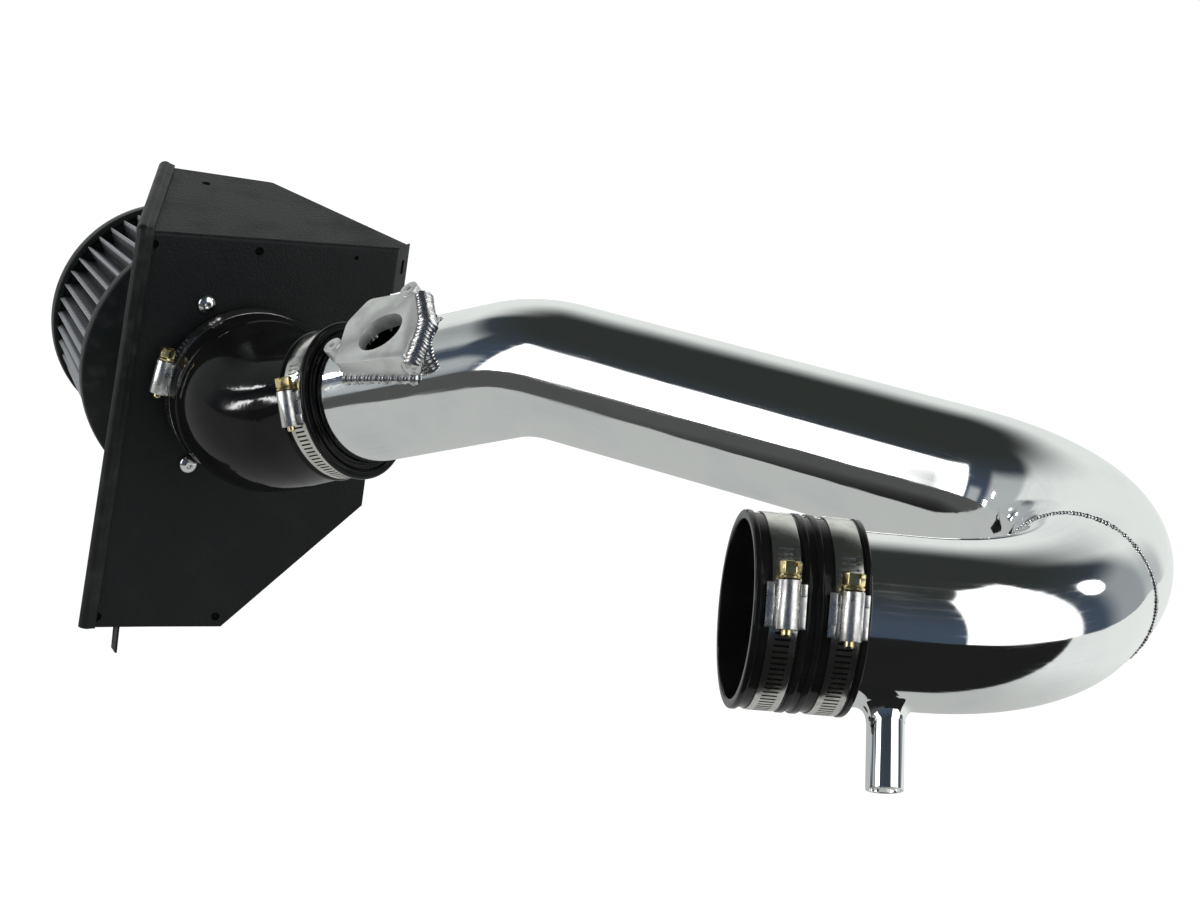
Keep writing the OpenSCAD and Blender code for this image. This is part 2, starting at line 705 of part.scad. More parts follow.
module edge_trim() color(black) at_panel() difference() {
    union() {
        rise = top_fold_y - bottom_y;
        translate([low_x, bottom_y, -sheet_t / 2]) rotate([0, 0, -atan2(trim_slant, rise)])
            rotate([-90, 0, 0]) trim_run(norm([trim_slant, rise]));
        translate([-trim_side, top_fold_y, -sheet_t / 2]) sphere(trim_d / 2 + corner_swell);
        at_top_panel() translate([-trim_side, 0, sheet_t / 2]) {
            sphere(trim_d / 2 + corner_swell);
            rotate([0, 0, -atan2(top_slant, top_depth)]) rotate([-90, 0, 0])
                trim_run(norm([top_slant, top_depth]));
        }
    }
    sheet_body(fit);
}

// The cone filter behind the shield
module filter_base() color(black) at_panel() difference() {
    union() {
        translate([0, 0, -adapter_back]) cylinder(r = base_r, h = base_t);
        translate([0, 0, -base_back]) cylinder(r = neck_r, h = base_back - neck_front);
    }
    translate([0, 0, -adapter_back - over]) cylinder(r = adapter_r + fit, h = adapter_back);
}

function star(r_out, depth) = [for (i = [0 : 2 * pleat_count - 1])
    let (r = i % 2 == 0 ? r_out : r_out - depth, a = 180 * i / pleat_count) [r * cos(a), r * sin(a)]];

module filter_pleats() color("gray") at_panel()
    translate([0, 0, -adapter_back - fit]) rotate([180, 0, 0])
        linear_extrude(pleat_len, scale = pleat_taper) difference() {
            polygon(star(base_r - pleat_inset, pleat_depth));
            polygon(star(base_r - pleat_inset - pleat_wall, pleat_depth));
        }

module filter_cap() color(black) at_panel()
    translate([0, 0, -adapter_back - pleat_len - 2 * fit - cap_t]) difference() {
        cylinder(r = cap_r, h = cap_t);
        translate([0, 0, -over]) cylinder(r = cap_r - cap_rim, h = cap_t / 2 + over);
    }

lower_tube();
upper_tube();
seam_weld();
vent_nipple();
vent_weld();
sensor_flange();
flange_weld();
outlet_coupler();
mouth_band();
mouth_housing();
mouth_screw();
tube_band();
tube_housing();
tube_screw();
rubber_elbow();
inlet_band();
inlet_housing();
inlet_screw();
adapter_band();
adapter_housing();
adapter_screw();
filter_adapter();
heat_shield();
edge_trim();
shield_screws();
shield_nuts();
filter_base();
filter_pleats();
filter_cap();
filter_band();
filter_housing();
filter_screw();
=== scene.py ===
"""Cold air intake pipe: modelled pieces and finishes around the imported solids, in a studio."""
import logging
import math
from dataclasses import dataclass, field
from enum import Enum

import bmesh
import bpy
from mathutils import Matrix, Vector


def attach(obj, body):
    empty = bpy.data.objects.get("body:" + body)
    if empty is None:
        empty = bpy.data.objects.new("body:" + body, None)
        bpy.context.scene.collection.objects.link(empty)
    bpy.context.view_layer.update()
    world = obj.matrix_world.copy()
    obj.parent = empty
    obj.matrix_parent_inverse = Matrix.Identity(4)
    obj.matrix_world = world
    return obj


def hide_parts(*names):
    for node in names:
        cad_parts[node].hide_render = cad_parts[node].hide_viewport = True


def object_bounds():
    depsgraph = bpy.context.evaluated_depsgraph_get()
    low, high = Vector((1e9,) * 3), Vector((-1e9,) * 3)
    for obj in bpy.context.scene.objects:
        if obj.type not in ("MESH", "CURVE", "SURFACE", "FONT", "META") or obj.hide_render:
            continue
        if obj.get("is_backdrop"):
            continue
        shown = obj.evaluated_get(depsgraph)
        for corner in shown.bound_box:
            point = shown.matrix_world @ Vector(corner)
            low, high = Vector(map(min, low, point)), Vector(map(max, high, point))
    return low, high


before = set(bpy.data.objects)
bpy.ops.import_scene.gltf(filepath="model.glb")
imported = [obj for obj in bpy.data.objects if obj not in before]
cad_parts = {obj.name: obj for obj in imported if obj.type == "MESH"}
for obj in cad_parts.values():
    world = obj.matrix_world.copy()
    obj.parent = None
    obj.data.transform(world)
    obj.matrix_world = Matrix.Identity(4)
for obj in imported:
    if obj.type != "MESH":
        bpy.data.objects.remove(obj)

LOG = logging.getLogger("intake")
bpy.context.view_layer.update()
MM = 0.001
TAU = 2 * math.pi
BODY = "root"
SMOOTH = 180.0
Point2 = tuple[float, float]
Colour = tuple[float, float, float, float]
Piece = bpy.types.Object
Sockets = dict[str, "Wire | float | tuple"]


class Slot(Enum):
    """The record's material slots."""

    TUBE = "polished_tube"
    WELD = "weld"
    FLANGE = "machined_flange"
    RUBBER = "black_rubber"
    FILTER_RUBBER = "filter_rubber"
    CLAMP = "clamp_steel"
    ZINC = "zinc_screw"
    SCREW = "screw_steel"
    POWDER = "powder_coat"
    TRIM = "trim_rubber"
    ADAPTER = "adapter_black"
    MEDIA = "media"


class Side(Enum):
    """Which way round a clamp its screw's head points."""

    FORWARD = 1
    BACKWARD = -1


class Join(Enum):
    """How one piece is combined with another."""

    ADD = "UNION"
    CUT = "DIFFERENCE"


# Places


@dataclass(frozen=True)
class Place:
    """A frame on the object, in metres, with Z along the part that it belongs to."""

    matrix: Matrix

    def forward(self, length: float) -> "Place":
        """The frame moved along its own Z."""
        return Place(self.matrix @ Matrix.Translation((0, 0, length)))

    def turned(self, axis: str, degrees: float) -> "Place":
        """The frame turned about one of its own axes."""
        return Place(self.matrix @ Matrix.Rotation(math.radians(degrees), 4, axis))

    def bent(self, radius: float, turn: float, roll: float) -> "Place":
        """The frame at the end of a bend.

        Args:
            radius: The bend's radius on the centre line, in metres.
            turn: The bend's angle in degrees.
            roll: The direction of the bend around Z, in degrees.

        Returns:
            The frame past the bend, with its roll kept.
        """
        angle = math.radians(turn)
        rolled = self.turned("Z", roll).matrix
        shift = Matrix.Translation((radius * (1 - math.cos(angle)), 0, radius * math.sin(angle)))
        return Place(rolled @ shift @ Matrix.Rotation(angle, 4, "Y"))

    def at(self, x: float, y: float, z: float) -> Vector:
        """A point of the frame, in the row frame."""
        return self.matrix @ Vector((x, y, z))

    def axis(self, x: float, y: float, z: float) -> Vector:
        """A direction of the frame, in the row frame."""
        return self.matrix.to_3x3() @ Vector((x, y, z))


@dataclass(frozen=True)
class Route:
    """The chain of straight runs and bends that places every piece."""

    tube_start: float = 30 * MM
    lower_len: float = 65.5 * MM
    bend_r: float = 107.5 * MM
    lower_turn: float = 56.5
    lower_roll: float = 96.0
    seam_len: float = 12 * MM
    upper_turn: float = 90.5
    upper_roll: float = -1.5
    long_len: float = 270 * MM
    inlet_turn: float = 24.5
    inlet_roll: float = -98.5
    inlet_len: float = 129 * MM
    small_len: float = 45 * MM
    elbow_r: float = 90 * MM
    elbow_turn: float = 38.0
    elbow_roll: float = -107.5
    neck_len: float = 47 * MM
    shield_roll: float = 40.0

    @property
    def mouth(self) -> Place:
        """The outlet coupler's mouth, with Z into the tube."""
        return Place(Matrix.Rotation(math.radians(90), 4, "Y"))

    @property
    def lower_bend(self) -> Place:
        """The start of the lower bend."""
        return self.mouth.forward(self.tube_start + self.lower_len)

    @property
    def seam(self) -> Place:
        """The welded seam between the two tube pieces."""
        return self.lower_bend.bent(self.bend_r, self.lower_turn, self.lower_roll).forward(self.seam_len)

    @property
    def long_leg(self) -> Place:
        """The start of the long leg."""
        return self.seam.forward(self.seam_len).bent(self.bend_r, self.upper_turn, self.upper_roll)

    @property
    def inlet_leg(self) -> Place:
        """The start of the inlet leg."""
        return self.long_leg.forward(self.long_len).bent(self.bend_r, self.inlet_turn, self.inlet_roll)

    @property
    def elbow(self) -> Place:
        """The rubber elbow's lip."""
        return self.inlet_leg.forward(self.inlet_len)

    @property
    def elbow_bend(self) -> Place:
        """The start of the rubber elbow's bend, rolled into its plane."""
        return self.elbow.forward(self.small_len).turned("Z", self.elbow_roll)

    @property
    def panel(self) -> Place:
        """The shield's front face: X right, Y up, Z toward the tube."""
        end = self.elbow.forward(self.small_len).bent(self.elbow_r, self.elbow_turn, self.elbow_roll)
        return end.forward(self.neck_len).turned("Z", self.shield_roll).turned("X", 180)


ROUTE = Route()


# Shader maths


class Wire:
    """One output socket of a shader tree, with maths written as Python operators."""

    def __init__(self, graph: "Graph", socket: bpy.types.NodeSocket | None) -> None:
        """Keeps the socket and the graph that new nodes go into."""
        self.graph = graph
        self.socket = socket

    def _math(self, operation: str, first: "Wire | float", second: "Wire | float") -> "Wire":
        """A Math node on two values."""
        return self.graph.node("ShaderNodeMath", {"operation": operation}, {0: first, 1: second})

    def __add__(self, other: "Wire | float") -> "Wire":
        """self + other."""
        return self._math("ADD", self, other)

    def __sub__(self, other: "Wire | float") -> "Wire":
        """self - other."""
        return self._math("SUBTRACT", self, other)

    def __mul__(self, other: "Wire | float") -> "Wire":
        """self * other."""
        return self._math("MULTIPLY", self, other)

    def __radd__(self, other: float) -> "Wire":
        """other + self."""
        return self._math("ADD", other, self)

    def __rsub__(self, other: float) -> "Wire":
        """other - self."""
        return self._math("SUBTRACT", other, self)

    def __rmul__(self, other: float) -> "Wire":
        """other * self."""
        return self._math("MULTIPLY", other, self)

    def clamped(self) -> "Wire":
        """The value held between 0 and 1."""
        return self.graph.node("ShaderNodeClamp", {}, {"Value": self})

    def smooth(self, low: float, high: float) -> "Wire":
        """A smooth step from 0 at low to 1 at high."""
        values = {"Value": self, "From Min": low, "From Max": high}
        return self.graph.node("ShaderNodeMapRange", {"interpolation_type": "SMOOTHSTEP"}, values)


class Graph:
    """A node tree that is built by one method."""

    def __init__(self, tree: bpy.types.NodeTree) -> None:
        """Empties the tree."""
        self.tree = tree
        self.tree.nodes.clear()

    def node(self, kind: str, settings: dict, values: dict, output: int | str = 0) -> Wire:
        """Adds a node.

        Args:
            kind: The node's type.
            settings: Properties that are set first; "stops" fills a colour ramp.
            values: Input sockets by name or index, each with a value or a Wire.
            output: The output that is wanted.

        Returns:
            A Wire on that output.
        """
        made = self.tree.nodes.new(kind)
        for key, value in settings.items():
            if key == "stops":
                self._fill_ramp(made.color_ramp, value)
            else:
                setattr(made, key, value)
        for key, value in values.items():
            if isinstance(value, Wire):
                self.tree.links.new(value.socket, made.inputs[key])
            else:
                made.inputs[key].default_value = value
        return Wire(self, made.outputs[output]) if made.outputs else Wire(self, None)

    @staticmethod
    def _fill_ramp(ramp: bpy.types.ColorRamp, stops: list[tuple[float, Colour]]) -> None:
        """Sets a ramp's stops.

        Args:
            ramp: The ramp.
            stops: Each stop's place and colour.
        """
        while len(ramp.elements) < len(stops):
            ramp.elements.new(1.0)
        for element, (place, colour) in zip(ramp.elements, stops):
            element.position = place
            element.color = colour

    def where(self, output: str = "Object") -> Wire:
        """Texture coordinates: the object's own, or its UV map."""
        return self.node("ShaderNodeTexCoord", {}, {}, output)

    def part(self, vector: Wire, letter: str) -> Wire:
        """One number of a vector."""
        return self.node("ShaderNodeSeparateXYZ", {}, {"Vector": vector}, letter)

    def attribute(self, name: str) -> Wire:
        """A number that the mesh holds."""
        return self.node("ShaderNodeAttribute", {"attribute_name": name}, {}, "Fac")

    def ray(self, kind: str) -> Wire:
        """1 for the rays of one kind."""
        return self.node("ShaderNodeLightPath", {}, {}, f"Is {kind} Ray")

    def mix(
        self, amount: "Wire | float", first: "Wire | Colour", second: "Wire | Colour", held: bool = True
    ) -> Wire:
        """A colour between first and second, or past second where the amount isn't held to 1."""
        settings = {"data_type": "RGBA", "clamp_factor": held}
        return self.node("ShaderNodeMix", settings, {0: amount, 6: first, 7: second}, 2)

    def blend(self, amount: "Wire | float", first: Wire, second: Wire) -> Wire:
        """One shader or another."""
        return self.node("ShaderNodeMixShader", {}, {0: amount, 1: first, 2: second})

    def noise(self, where: Wire, scale: float, detail: float = 2.0, roughness: float = 0.5) -> Wire:
        """Noise from 0 to 1."""
        values = {"Vector": where, "Scale": scale, "Detail": detail, "Roughness": roughness}
        return self.node("ShaderNodeTexNoise", {}, values, "Fac")

    def stretched(self, where: Wire, scale: tuple[float, float, float]) -> Wire:
        """Coordinates scaled by axis."""
        return self.node("ShaderNodeMapping", {}, {"Vector": where, "Scale": scale})


# Finishes


class Finish:
    """A procedural material. Subclasses fill in surface()."""

    slot: Slot
    metallic: float = 0.0
    specular: float = 0.5

    def surface(self, graph: Graph, where: Wire) -> Sockets:
        """The shader's sockets that vary over the surface."""
        raise NotImplementedError

    def material(self) -> bpy.types.Material:
        """The finish's material, made once.

        Returns:
            The material, under the finish's own name.
        """
        name = type(self).__name__
        if name in bpy.data.materials:
            return bpy.data.materials[name]
        made = bpy.data.materials.new(name)
        made.use_nodes = True
        graph = Graph(made.node_tree)
        values = {"Metallic": self.metallic, "Specular IOR Level": self.specular}
        values.update(self.surface(graph, graph.where()))
        shader = graph.node("ShaderNodeBsdfPrincipled", {}, values)
        graph.node("ShaderNodeOutputMaterial", {}, {"Surface": shader})
        return made

    @staticmethod
    def bump(graph: Graph, height: Wire, strength: float, distance: float) -> Wire:
        """A Bump node's normal."""
        values = {"Height": height, "Strength": strength, "Distance": distance}
        return graph.node("ShaderNodeBump", {}, values)


@dataclass(frozen=True)
class PatchyFinish(Finish):
    """Two shades in soft patches over a grainy skin.

    The patches and the grain are a noise's scale and detail, the edge is where a patch fades in, and
    the relief is the grain's strength and height.
    """

    plain: Colour = (0.5, 0.5, 0.5, 1)
    marked: Colour = (0.3, 0.3, 0.3, 1)
    gloss: float = 0.3
    dulling: float = 0.1
    patches: Point2 = (100.0, 3.0)
    edge: Point2 = (0.4, 0.7)
    grain: Point2 = (900.0, 3.0)
    relief: Point2 = (0.2, 0.0004)

    def surface(self, graph: Graph, where: Wire) -> Sockets:
        """The second shade, duller, in patches.

        Args:
            graph: The material's graph.
            where: Object coordinates.

        Returns:
            The shader's varying sockets.
        """
        patch = graph.noise(where, *self.patches).smooth(*self.edge)
        return {
            "Base Color": graph.mix(patch, self.plain, self.marked),
            "Roughness": self.gloss + self.dulling * patch,
            "Normal": self.bump(graph, graph.noise(where, *self.grain), *self.relief),
        }


@dataclass(frozen=True)
class PolishedAluminium(Finish):
    """Mirror-polished tube with a faint waviness and a haze of polishing lines."""

    slot: Slot = Slot.TUBE
    metallic: float = 1.0
    bright: Colour = (0.92, 0.93, 0.93, 1)
    hazed: Colour = (0.74, 0.76, 0.79, 1)
    gloss: float = 0.02

    def surface(self, graph: Graph, where: Wire) -> Sockets:
        """Bright metal; polishing lines run along the tube between patches of haze.

        Args:
            graph: The material's graph.
            where: Object coordinates.

        Returns:
            The shader's varying sockets.
        """
        uv = graph.where("UV")
        streaks = graph.noise(graph.stretched(uv, (9.0, 420.0, 1.0)), 1.0, 4.0, 0.6)
        fine = graph.noise(graph.stretched(uv, (30.0, 1900.0, 1.0)), 1.0, 2.0)
        haze = graph.noise(where, 20.0, 4.0).smooth(0.42, 0.75)
        wave = graph.noise(where, 14.0, 1.5)
        return {
            "Base Color": graph.mix(haze * streaks, self.bright, self.hazed),
            "Roughness": self.gloss + 0.06 * haze + 0.10 * streaks.smooth(0.45, 0.8) + 0.02 * fine,
            "Normal": self.bump(graph, 4.0 * wave + 0.09 * streaks + 0.012 * fine, 0.4, 0.0005),
        }


@dataclass(frozen=True)
class WeldBead(PatchyFinish):
    """Rippled aluminium weld with darker, duller patches."""

    slot: Slot = Slot.WELD
    metallic: float = 1.0
    plain: Colour = (0.80, 0.80, 0.80, 1)
    marked: Colour = (0.42, 0.42, 0.43, 1)
    gloss: float = 0.16
    dulling: float = 0.22
    patches: Point2 = (260.0, 3.0)
    edge: Point2 = (0.4, 0.7)
    grain: Point2 = (900.0, 3.0)
    relief: Point2 = (0.25, 0.0004)


@dataclass(frozen=True)
class MachinedFace(Finish):
    """Satin aluminium plate with a brushed face and handling marks."""

    slot: Slot = Slot.FLANGE
    metallic: float = 0.75
    clean: Colour = (0.82, 0.83, 0.81, 1)
    stained: Colour = (0.68, 0.69, 0.67, 1)
    gloss: float = 0.34

    def surface(self, graph: Graph, where: Wire) -> Sockets:
        """Grey metal whose brushing runs one way.

        Args:
            graph: The material's graph.
            where: Object coordinates.

        Returns:
            The shader's varying sockets.
        """
        brushed = graph.noise(graph.stretched(where, (1400.0, 140.0, 1400.0)), 1.0, 2.0)
        stain = graph.noise(where, 60.0, 4.0).smooth(0.45, 0.7)
        return {
            "Base Color": graph.mix(stain, self.clean, self.stained),
            "Roughness": self.gloss + 0.12 * brushed + 0.08 * stain,
            "Normal": self.bump(graph, brushed, 0.15, 0.0002),
        }


@dataclass(frozen=True)
class GlossRubber(Finish):
    """Moulded black rubber with a wet gloss and faint mould marks."""

    slot: Slot = Slot.RUBBER
    specular: float = 0.19
    black: Colour = (0.006, 0.006, 0.006, 1)
    worn: Colour = (0.010, 0.010, 0.0095, 1)
    gloss: float = 0.05

    def surface(self, graph: Graph, where: Wire) -> Sockets:
        """Near black, with soft patches in the gloss and a slight wave.

        Args:
            graph: The material's graph.
            where: Object coordinates.

        Returns:
            The shader's varying sockets.
        """
        patch = graph.noise(where, 45.0, 4.0).smooth(0.35, 0.75)
        skin = graph.noise(where, 420.0, 3.0)
        return {
            "Base Color": graph.mix(patch, self.black, self.worn),
            "Roughness": self.gloss + 0.06 * patch,
            "Normal": self.bump(graph, 0.25 * skin + 1.2 * graph.noise(where, 30.0, 1.0), 0.2, 0.0006),
        }


@dataclass(frozen=True)
class SatinRubber(PatchyFinish):
    """Soft black rubber of the filter's base and cap, with fine dust."""

    slot: Slot = Slot.FILTER_RUBBER
    specular: float = 0.25
    plain: Colour = (0.011, 0.0135, 0.013, 1)
    marked: Colour = (0.024, 0.029, 0.028, 1)
    gloss: float = 0.36
    dulling: float = 0.15
    patches: Point2 = (90.0, 5.0)
    edge: Point2 = (0.45, 0.8)
    grain: Point2 = (700.0, 2.0)
    relief: Point2 = (0.2, 0.0004)


@dataclass(frozen=True)
class TrimRubber(PatchyFinish):
    """Extruded rubber edge trim, dull and slightly green."""

    slot: Slot = Slot.TRIM
    specular: float = 0.25
    plain: Colour = (0.009, 0.011, 0.010, 1)
    marked: Colour = (0.026, 0.030, 0.028, 1)
    gloss: float = 0.44
    dulling: float = 0.16
    patches: Point2 = (70.0, 5.0)
    edge: Point2 = (0.4, 0.8)
    grain: Point2 = (900.0, 3.0)
    relief: Point2 = (0.3, 0.0004)


@dataclass(frozen=True)
class PowderCoat(Finish):
    """Black powder coat with a fine leathery texture, and painted shade in its blind holes."""

    slot: Slot = Slot.POWDER
    specular: float = 0.2
    black: Colour = (0.0085, 0.0098, 0.0104, 1)
    rubbed: Colour = (0.014, 0.0155, 0.016, 1)
    # Painted shade at the bottoms of the blind holes and the slot.
    hollow: Colour = (0.0002, 0.0002, 0.0002, 1)
    gloss: float = 0.44

    def surface(self, graph: Graph, where: Wire) -> Sockets:
        """Near black with a pebbled normal and slight rubs, and painted shade, near black, at the bottoms of
        the blind holes.

        Args:
            graph: The material's graph.
            where: Object coordinates.

        Returns:
            The shader's varying sockets.
        """
        pebbles = {"Vector": where, "Scale": 620.0, "Smoothness": 0.6}
        cells = graph.node("ShaderNodeTexVoronoi", {"feature": "SMOOTH_F1"}, pebbles, "Distance")
        rub = graph.noise(where, 30.0, 6.0).smooth(0.45, 0.85)
        pit = graph.attribute("pit")
        coat = graph.mix(rub, self.black, self.rubbed)
        return {
            # Painted shade: the marked hole bottoms take the near-black colour.
            "Base Color": graph.mix(pit, coat, self.hollow),
            "Roughness": self.gloss + 0.14 * rub + 0.4 * pit,
            "Normal": self.bump(graph, cells + 0.6 * graph.noise(where, 1500.0, 2.0), 0.5, 0.0006),
        }


@dataclass(frozen=True)
class BandSteel(PatchyFinish):
    """Bright stainless strip with a smeared gloss."""

    slot: Slot = Slot.CLAMP
    metallic: float = 1.0
    plain: Colour = (0.76, 0.75, 0.72, 1)
    marked: Colour = (0.62, 0.61, 0.58, 1)
    gloss: float = 0.15
    dulling: float = 0.14
    patches: Point2 = (140.0, 4.0)
    edge: Point2 = (0.35, 0.75)
    grain: Point2 = (700.0, 1.0)
    relief: Point2 = (0.03, 0.0001)


@dataclass(frozen=True)
class PressedSteel(PatchyFinish):
    """Satin stainless of the pressed clamp housings, with duller patches."""

    slot: Slot = Slot.CLAMP
    metallic: float = 1.0
    plain: Colour = (0.84, 0.84, 0.82, 1)
    marked: Colour = (0.70, 0.70, 0.69, 1)
    gloss: float = 0.27
    dulling: float = 0.12
    patches: Point2 = (240.0, 3.0)
    edge: Point2 = (0.4, 0.7)
    grain: Point2 = (1800.0, 2.0)
    relief: Point2 = (0.12, 0.0002)


@dataclass(frozen=True)
class YellowZinc(Finish):
    """Yellow-passivated zinc with a drift from straw to olive."""

    slot: Slot = Slot.ZINC
    metallic: float = 1.0
    straw: Colour = (0.86, 0.66, 0.24, 1)
    pale: Colour = (0.92, 0.80, 0.48, 1)
    olive: Colour = (0.70, 0.62, 0.26, 1)
    gloss: float = 0.16

    def surface(self, graph: Graph, where: Wire) -> Sockets:
        """Gold with greener and paler patches.

        Args:
            graph: The material's graph.
            where: Object coordinates.

        Returns:
            The shader's varying sockets.
        """
        drift = graph.noise(where, 190.0, 3.0)
        stops = [(0.3, self.straw), (0.5, self.pale), (0.7, self.olive)]
        return {
            "Base Color": graph.node("ShaderNodeValToRGB", {"stops": stops}, {"Fac": drift}),
            "Roughness": self.gloss + 0.14 * graph.noise(where, 500.0, 2.0),
        }


@dataclass(frozen=True)
class ScrewSteel(Finish):
    """Polished stainless screws."""

    slot: Slot = Slot.SCREW
    metallic: float = 1.0
    bright: Colour = (0.82, 0.82, 0.82, 1)
    gloss: float = 0.08

    def surface(self, graph: Graph, where: Wire) -> Sockets:
        """Bright neutral steel."""
        smear = graph.noise(where, 300.0, 3.0)
        return {"Base Color": self.bright, "Roughness": self.gloss + 0.12 * smear}


@dataclass(frozen=True)
class GlossCoat(Finish):
    """Gloss black paint of the adapter."""

    slot: Slot = Slot.ADAPTER
    specular: float = 0.4
    black: Colour = (0.012, 0.012, 0.012, 1)
    gloss: float = 0.2

    def surface(self, graph: Graph, where: Wire) -> Sockets:
        """Black with a light orange-peel.

        Args:
            graph: The material's graph.
            where: Object coordinates.

        Returns:
            The shader's varying sockets.
        """
        peel = graph.noise(where, 300.0, 2.0)
        return {
            "Base Color": self.black,
            "Roughness": self.gloss + 0.1 * peel,
            "Normal": self.bump(graph, peel, 0.15, 0.0004),
        }


@dataclass(frozen=True)
class PleatMedia(Finish):
    """Grey pleated media under a fine wire mesh, with painted shade in its hollows and painted light on its
    crests.
    """

    slot: Slot = Slot.MEDIA
    # The painted shade of the hollows and the painted light of the crests.
    painted_hollow_shade: Colour = (0.02, 0.022, 0.026, 1)
    pale: Colour = (0.80, 0.82, 0.85, 1)
    weave: float = 125.0
    # Where the painted shade deepens toward the cap, in metres along the pleat.
    painted_far_shade: Point2 = (0.105, 0.143)

    def surface(self, graph: Graph, where: Wire) -> Sockets:
        """Crests are painted light and hollows painted shade, darkest toward the far end; the mesh is a fine
        diagonal grid.

        Args:
            graph: The material's graph.
            where: Object coordinates, which the media doesn't need.

        Returns:
            The shader's varying sockets.
        """
        uv = graph.where("UV")
        mirrored = graph.stretched(uv, (1.0, -1.0, 1.0))
        slant = {"bands_direction": "DIAGONAL"}
        first, second = (
            graph.node("ShaderNodeTexWave", slant, {"Vector": way, "Scale": self.weave})
            for way in (uv, mirrored)
        )
        mesh = (first * second).smooth(0.1, 0.6)
        depth = graph.attribute("crest")
        run = graph.part(uv, "Y")
        thread = graph.noise(graph.stretched(uv, (700.0, 160.0, 1.0)), 1.0, 3.0)
        # Painted shade on the flanks, deepening toward the cap, and painted light on the crests.
        painted_flank_shade = (0.05 + 0.26 * depth) * (1 - 0.92 * run.smooth(*self.painted_far_shade))
        lit = painted_flank_shade + 0.74 * depth.smooth(0.62, 0.92)
        shade = lit * (0.42 + 0.68 * mesh) * (0.75 + 0.5 * thread)
        return {
            "Base Color": graph.mix(shade.clamped(), self.painted_hollow_shade, self.pale),
            "Roughness": 0.7,
            "Normal": self.bump(graph, mesh, 0.5, 0.0005),
        }


# Outlines


def outline(points: list[Point2], radii: list[float], steps: int = 4) -> list[Point2]:
    """Rounds the corners of a closed outline.

    Args:
        points: The corners in order.
        radii: Each corner's radius; 0 keeps it sharp.
        steps: Segments in each rounded corner.

    Returns:
        The outline's points, with each round corner as an arc of a quadratic curve.
    """
    made: list[Point2] = []
    count = len(points)
    most = 0.48
    for index, (corner, radius) in enumerate(zip(points, radii)):
        here = Vector(corner)
        before = Vector(points[index - 1]) - here
        after = Vector(points[(index + 1) % count]) - here
        if radius <= 0:
            made.append(corner)
            continue
        reach = min(radius, before.length * most, after.length * most)
        start, end = here + before.normalized() * reach, here + after.normalized() * reach
        for step in range(steps + 1):
            t = step / steps
            spot = start.lerp(here, t).lerp(here.lerp(end, t), t)
            made.append((spot.x, spot.y))
    return made


def scaled(points: list[Point2]) -> list[Point2]:
    """Points in metres from points in millimetres."""
    return [(x * MM, y * MM) for x, y in points]


def circle(radius: float, sides: int = 48, centre: Point2 = (0.0, 0.0)) -> list[Point2]:
    """Points of a circle, counter-clockwise."""
    turns = [TAU * k / sides for k in range(sides)]
    return [(centre[0] + radius * math.cos(a), centre[1] + radius * math.sin(a)) for a in turns]


def rectangle(low: Point2, high: Point2) -> list[Point2]:
    """Corners of a rectangle, counter-clockwise."""
    return [low, (high[0], low[1]), high, (low[0], high[1])]


# Meshes


def linked(piece: Piece) -> Piece:
    """The object, linked into the scene."""
    bpy.context.scene.collection.objects.link(piece)
    return piece


def shaded(piece: Piece, sharp: float = 35.0) -> Piece:
    """The object with smooth faces and edges past an angle kept sharp.

    Args:
        piece: The object.
        sharp: The angle in degrees.

    Returns:
        The same object.
    """
    piece.data.polygons.foreach_set("use_smooth", [True] * len(piece.data.polygons))
    piece.data.set_sharp_from_angle(angle=math.radians(sharp))
    return piece


def mesh_piece(name: str, verts: list[Vector], faces: list[list[int]], sharp: float = 35.0) -> Piece:
    """A closed mesh object with outward normals and smooth shading.

    Args:
        name: The object's name.
        verts: Places in the row frame, in metres.
        faces: Vertex indices.
        sharp: Edges past this angle in degrees stay sharp.

    Returns:
        The linked object.
    """
    mesh = bpy.data.meshes.new(name)
    mesh.from_pydata([tuple(v) for v in verts], [], faces)
    work = bmesh.new()
    work.from_mesh(mesh)
    bmesh.ops.remove_doubles(work, verts=work.verts, dist=1e-7)
    bmesh.ops.recalc_face_normals(work, faces=work.faces)
    work.to_mesh(mesh)
    work.free()
    return shaded(linked(bpy.data.objects.new(name, mesh)), sharp)


def rings_piece(name: str, rings: list[list[Vector]], sharp: float = 35.0, looped: bool = True) -> Piece:
    """A skin through rings of equal length.

    Args:
        name: The object's name.
        rings: The rings in order.
        sharp: Edges past this angle in degrees stay sharp.
        looped: Whether the last ring joins the first; else a flat face closes each end.

    Returns:
        The linked object.
    """
    sides, count = len(rings[0]), len(rings)
    verts = [spot for ring in rings for spot in ring]
    faces, steps = [], [(k, (k + 1) % sides) for k in range(sides)]
    for i in range(count if looped else count - 1):
        here, there = i * sides, (i + 1) % count * sides
        faces += [[here + a, there + a, there + b, here + b] for a, b in steps]
    if not looped:
        faces += [list(range(sides)), list(range((count - 1) * sides, count * sides))]
    return mesh_piece(name, verts, faces, sharp)


def lathe(name: str, place: Place, section: list[Point2], sides: int = 128, looped: bool = True) -> Piece:
    """A section of radii and heights turned round a frame's Z, with flat ends unless it is looped."""
    rings = [[place.at(x, y, z) for x, y in circle(r, sides)] for r, z in section]
    return rings_piece(name, rings, looped=looped)


def prism(name: str, place: Place, points: list[Point2], low: float, high: float) -> Piece:
    """An outline in a frame's XY plane, from one height to another.

    Args:
        name: The object's name.
        place: The frame.
        points: The outline, in metres.
        low: The first height.
        high: The second height.

    Returns:
        The linked object.
    """
    count = len(points)
    verts = [place.at(x, y, z) for z in (low, high) for x, y in points]
    faces = [list(range(count)), list(range(count, 2 * count))]
    faces += [[k, (k + 1) % count, count + (k + 1) % count, count + k] for k in range(count)]
    return mesh_piece(name, verts, faces)


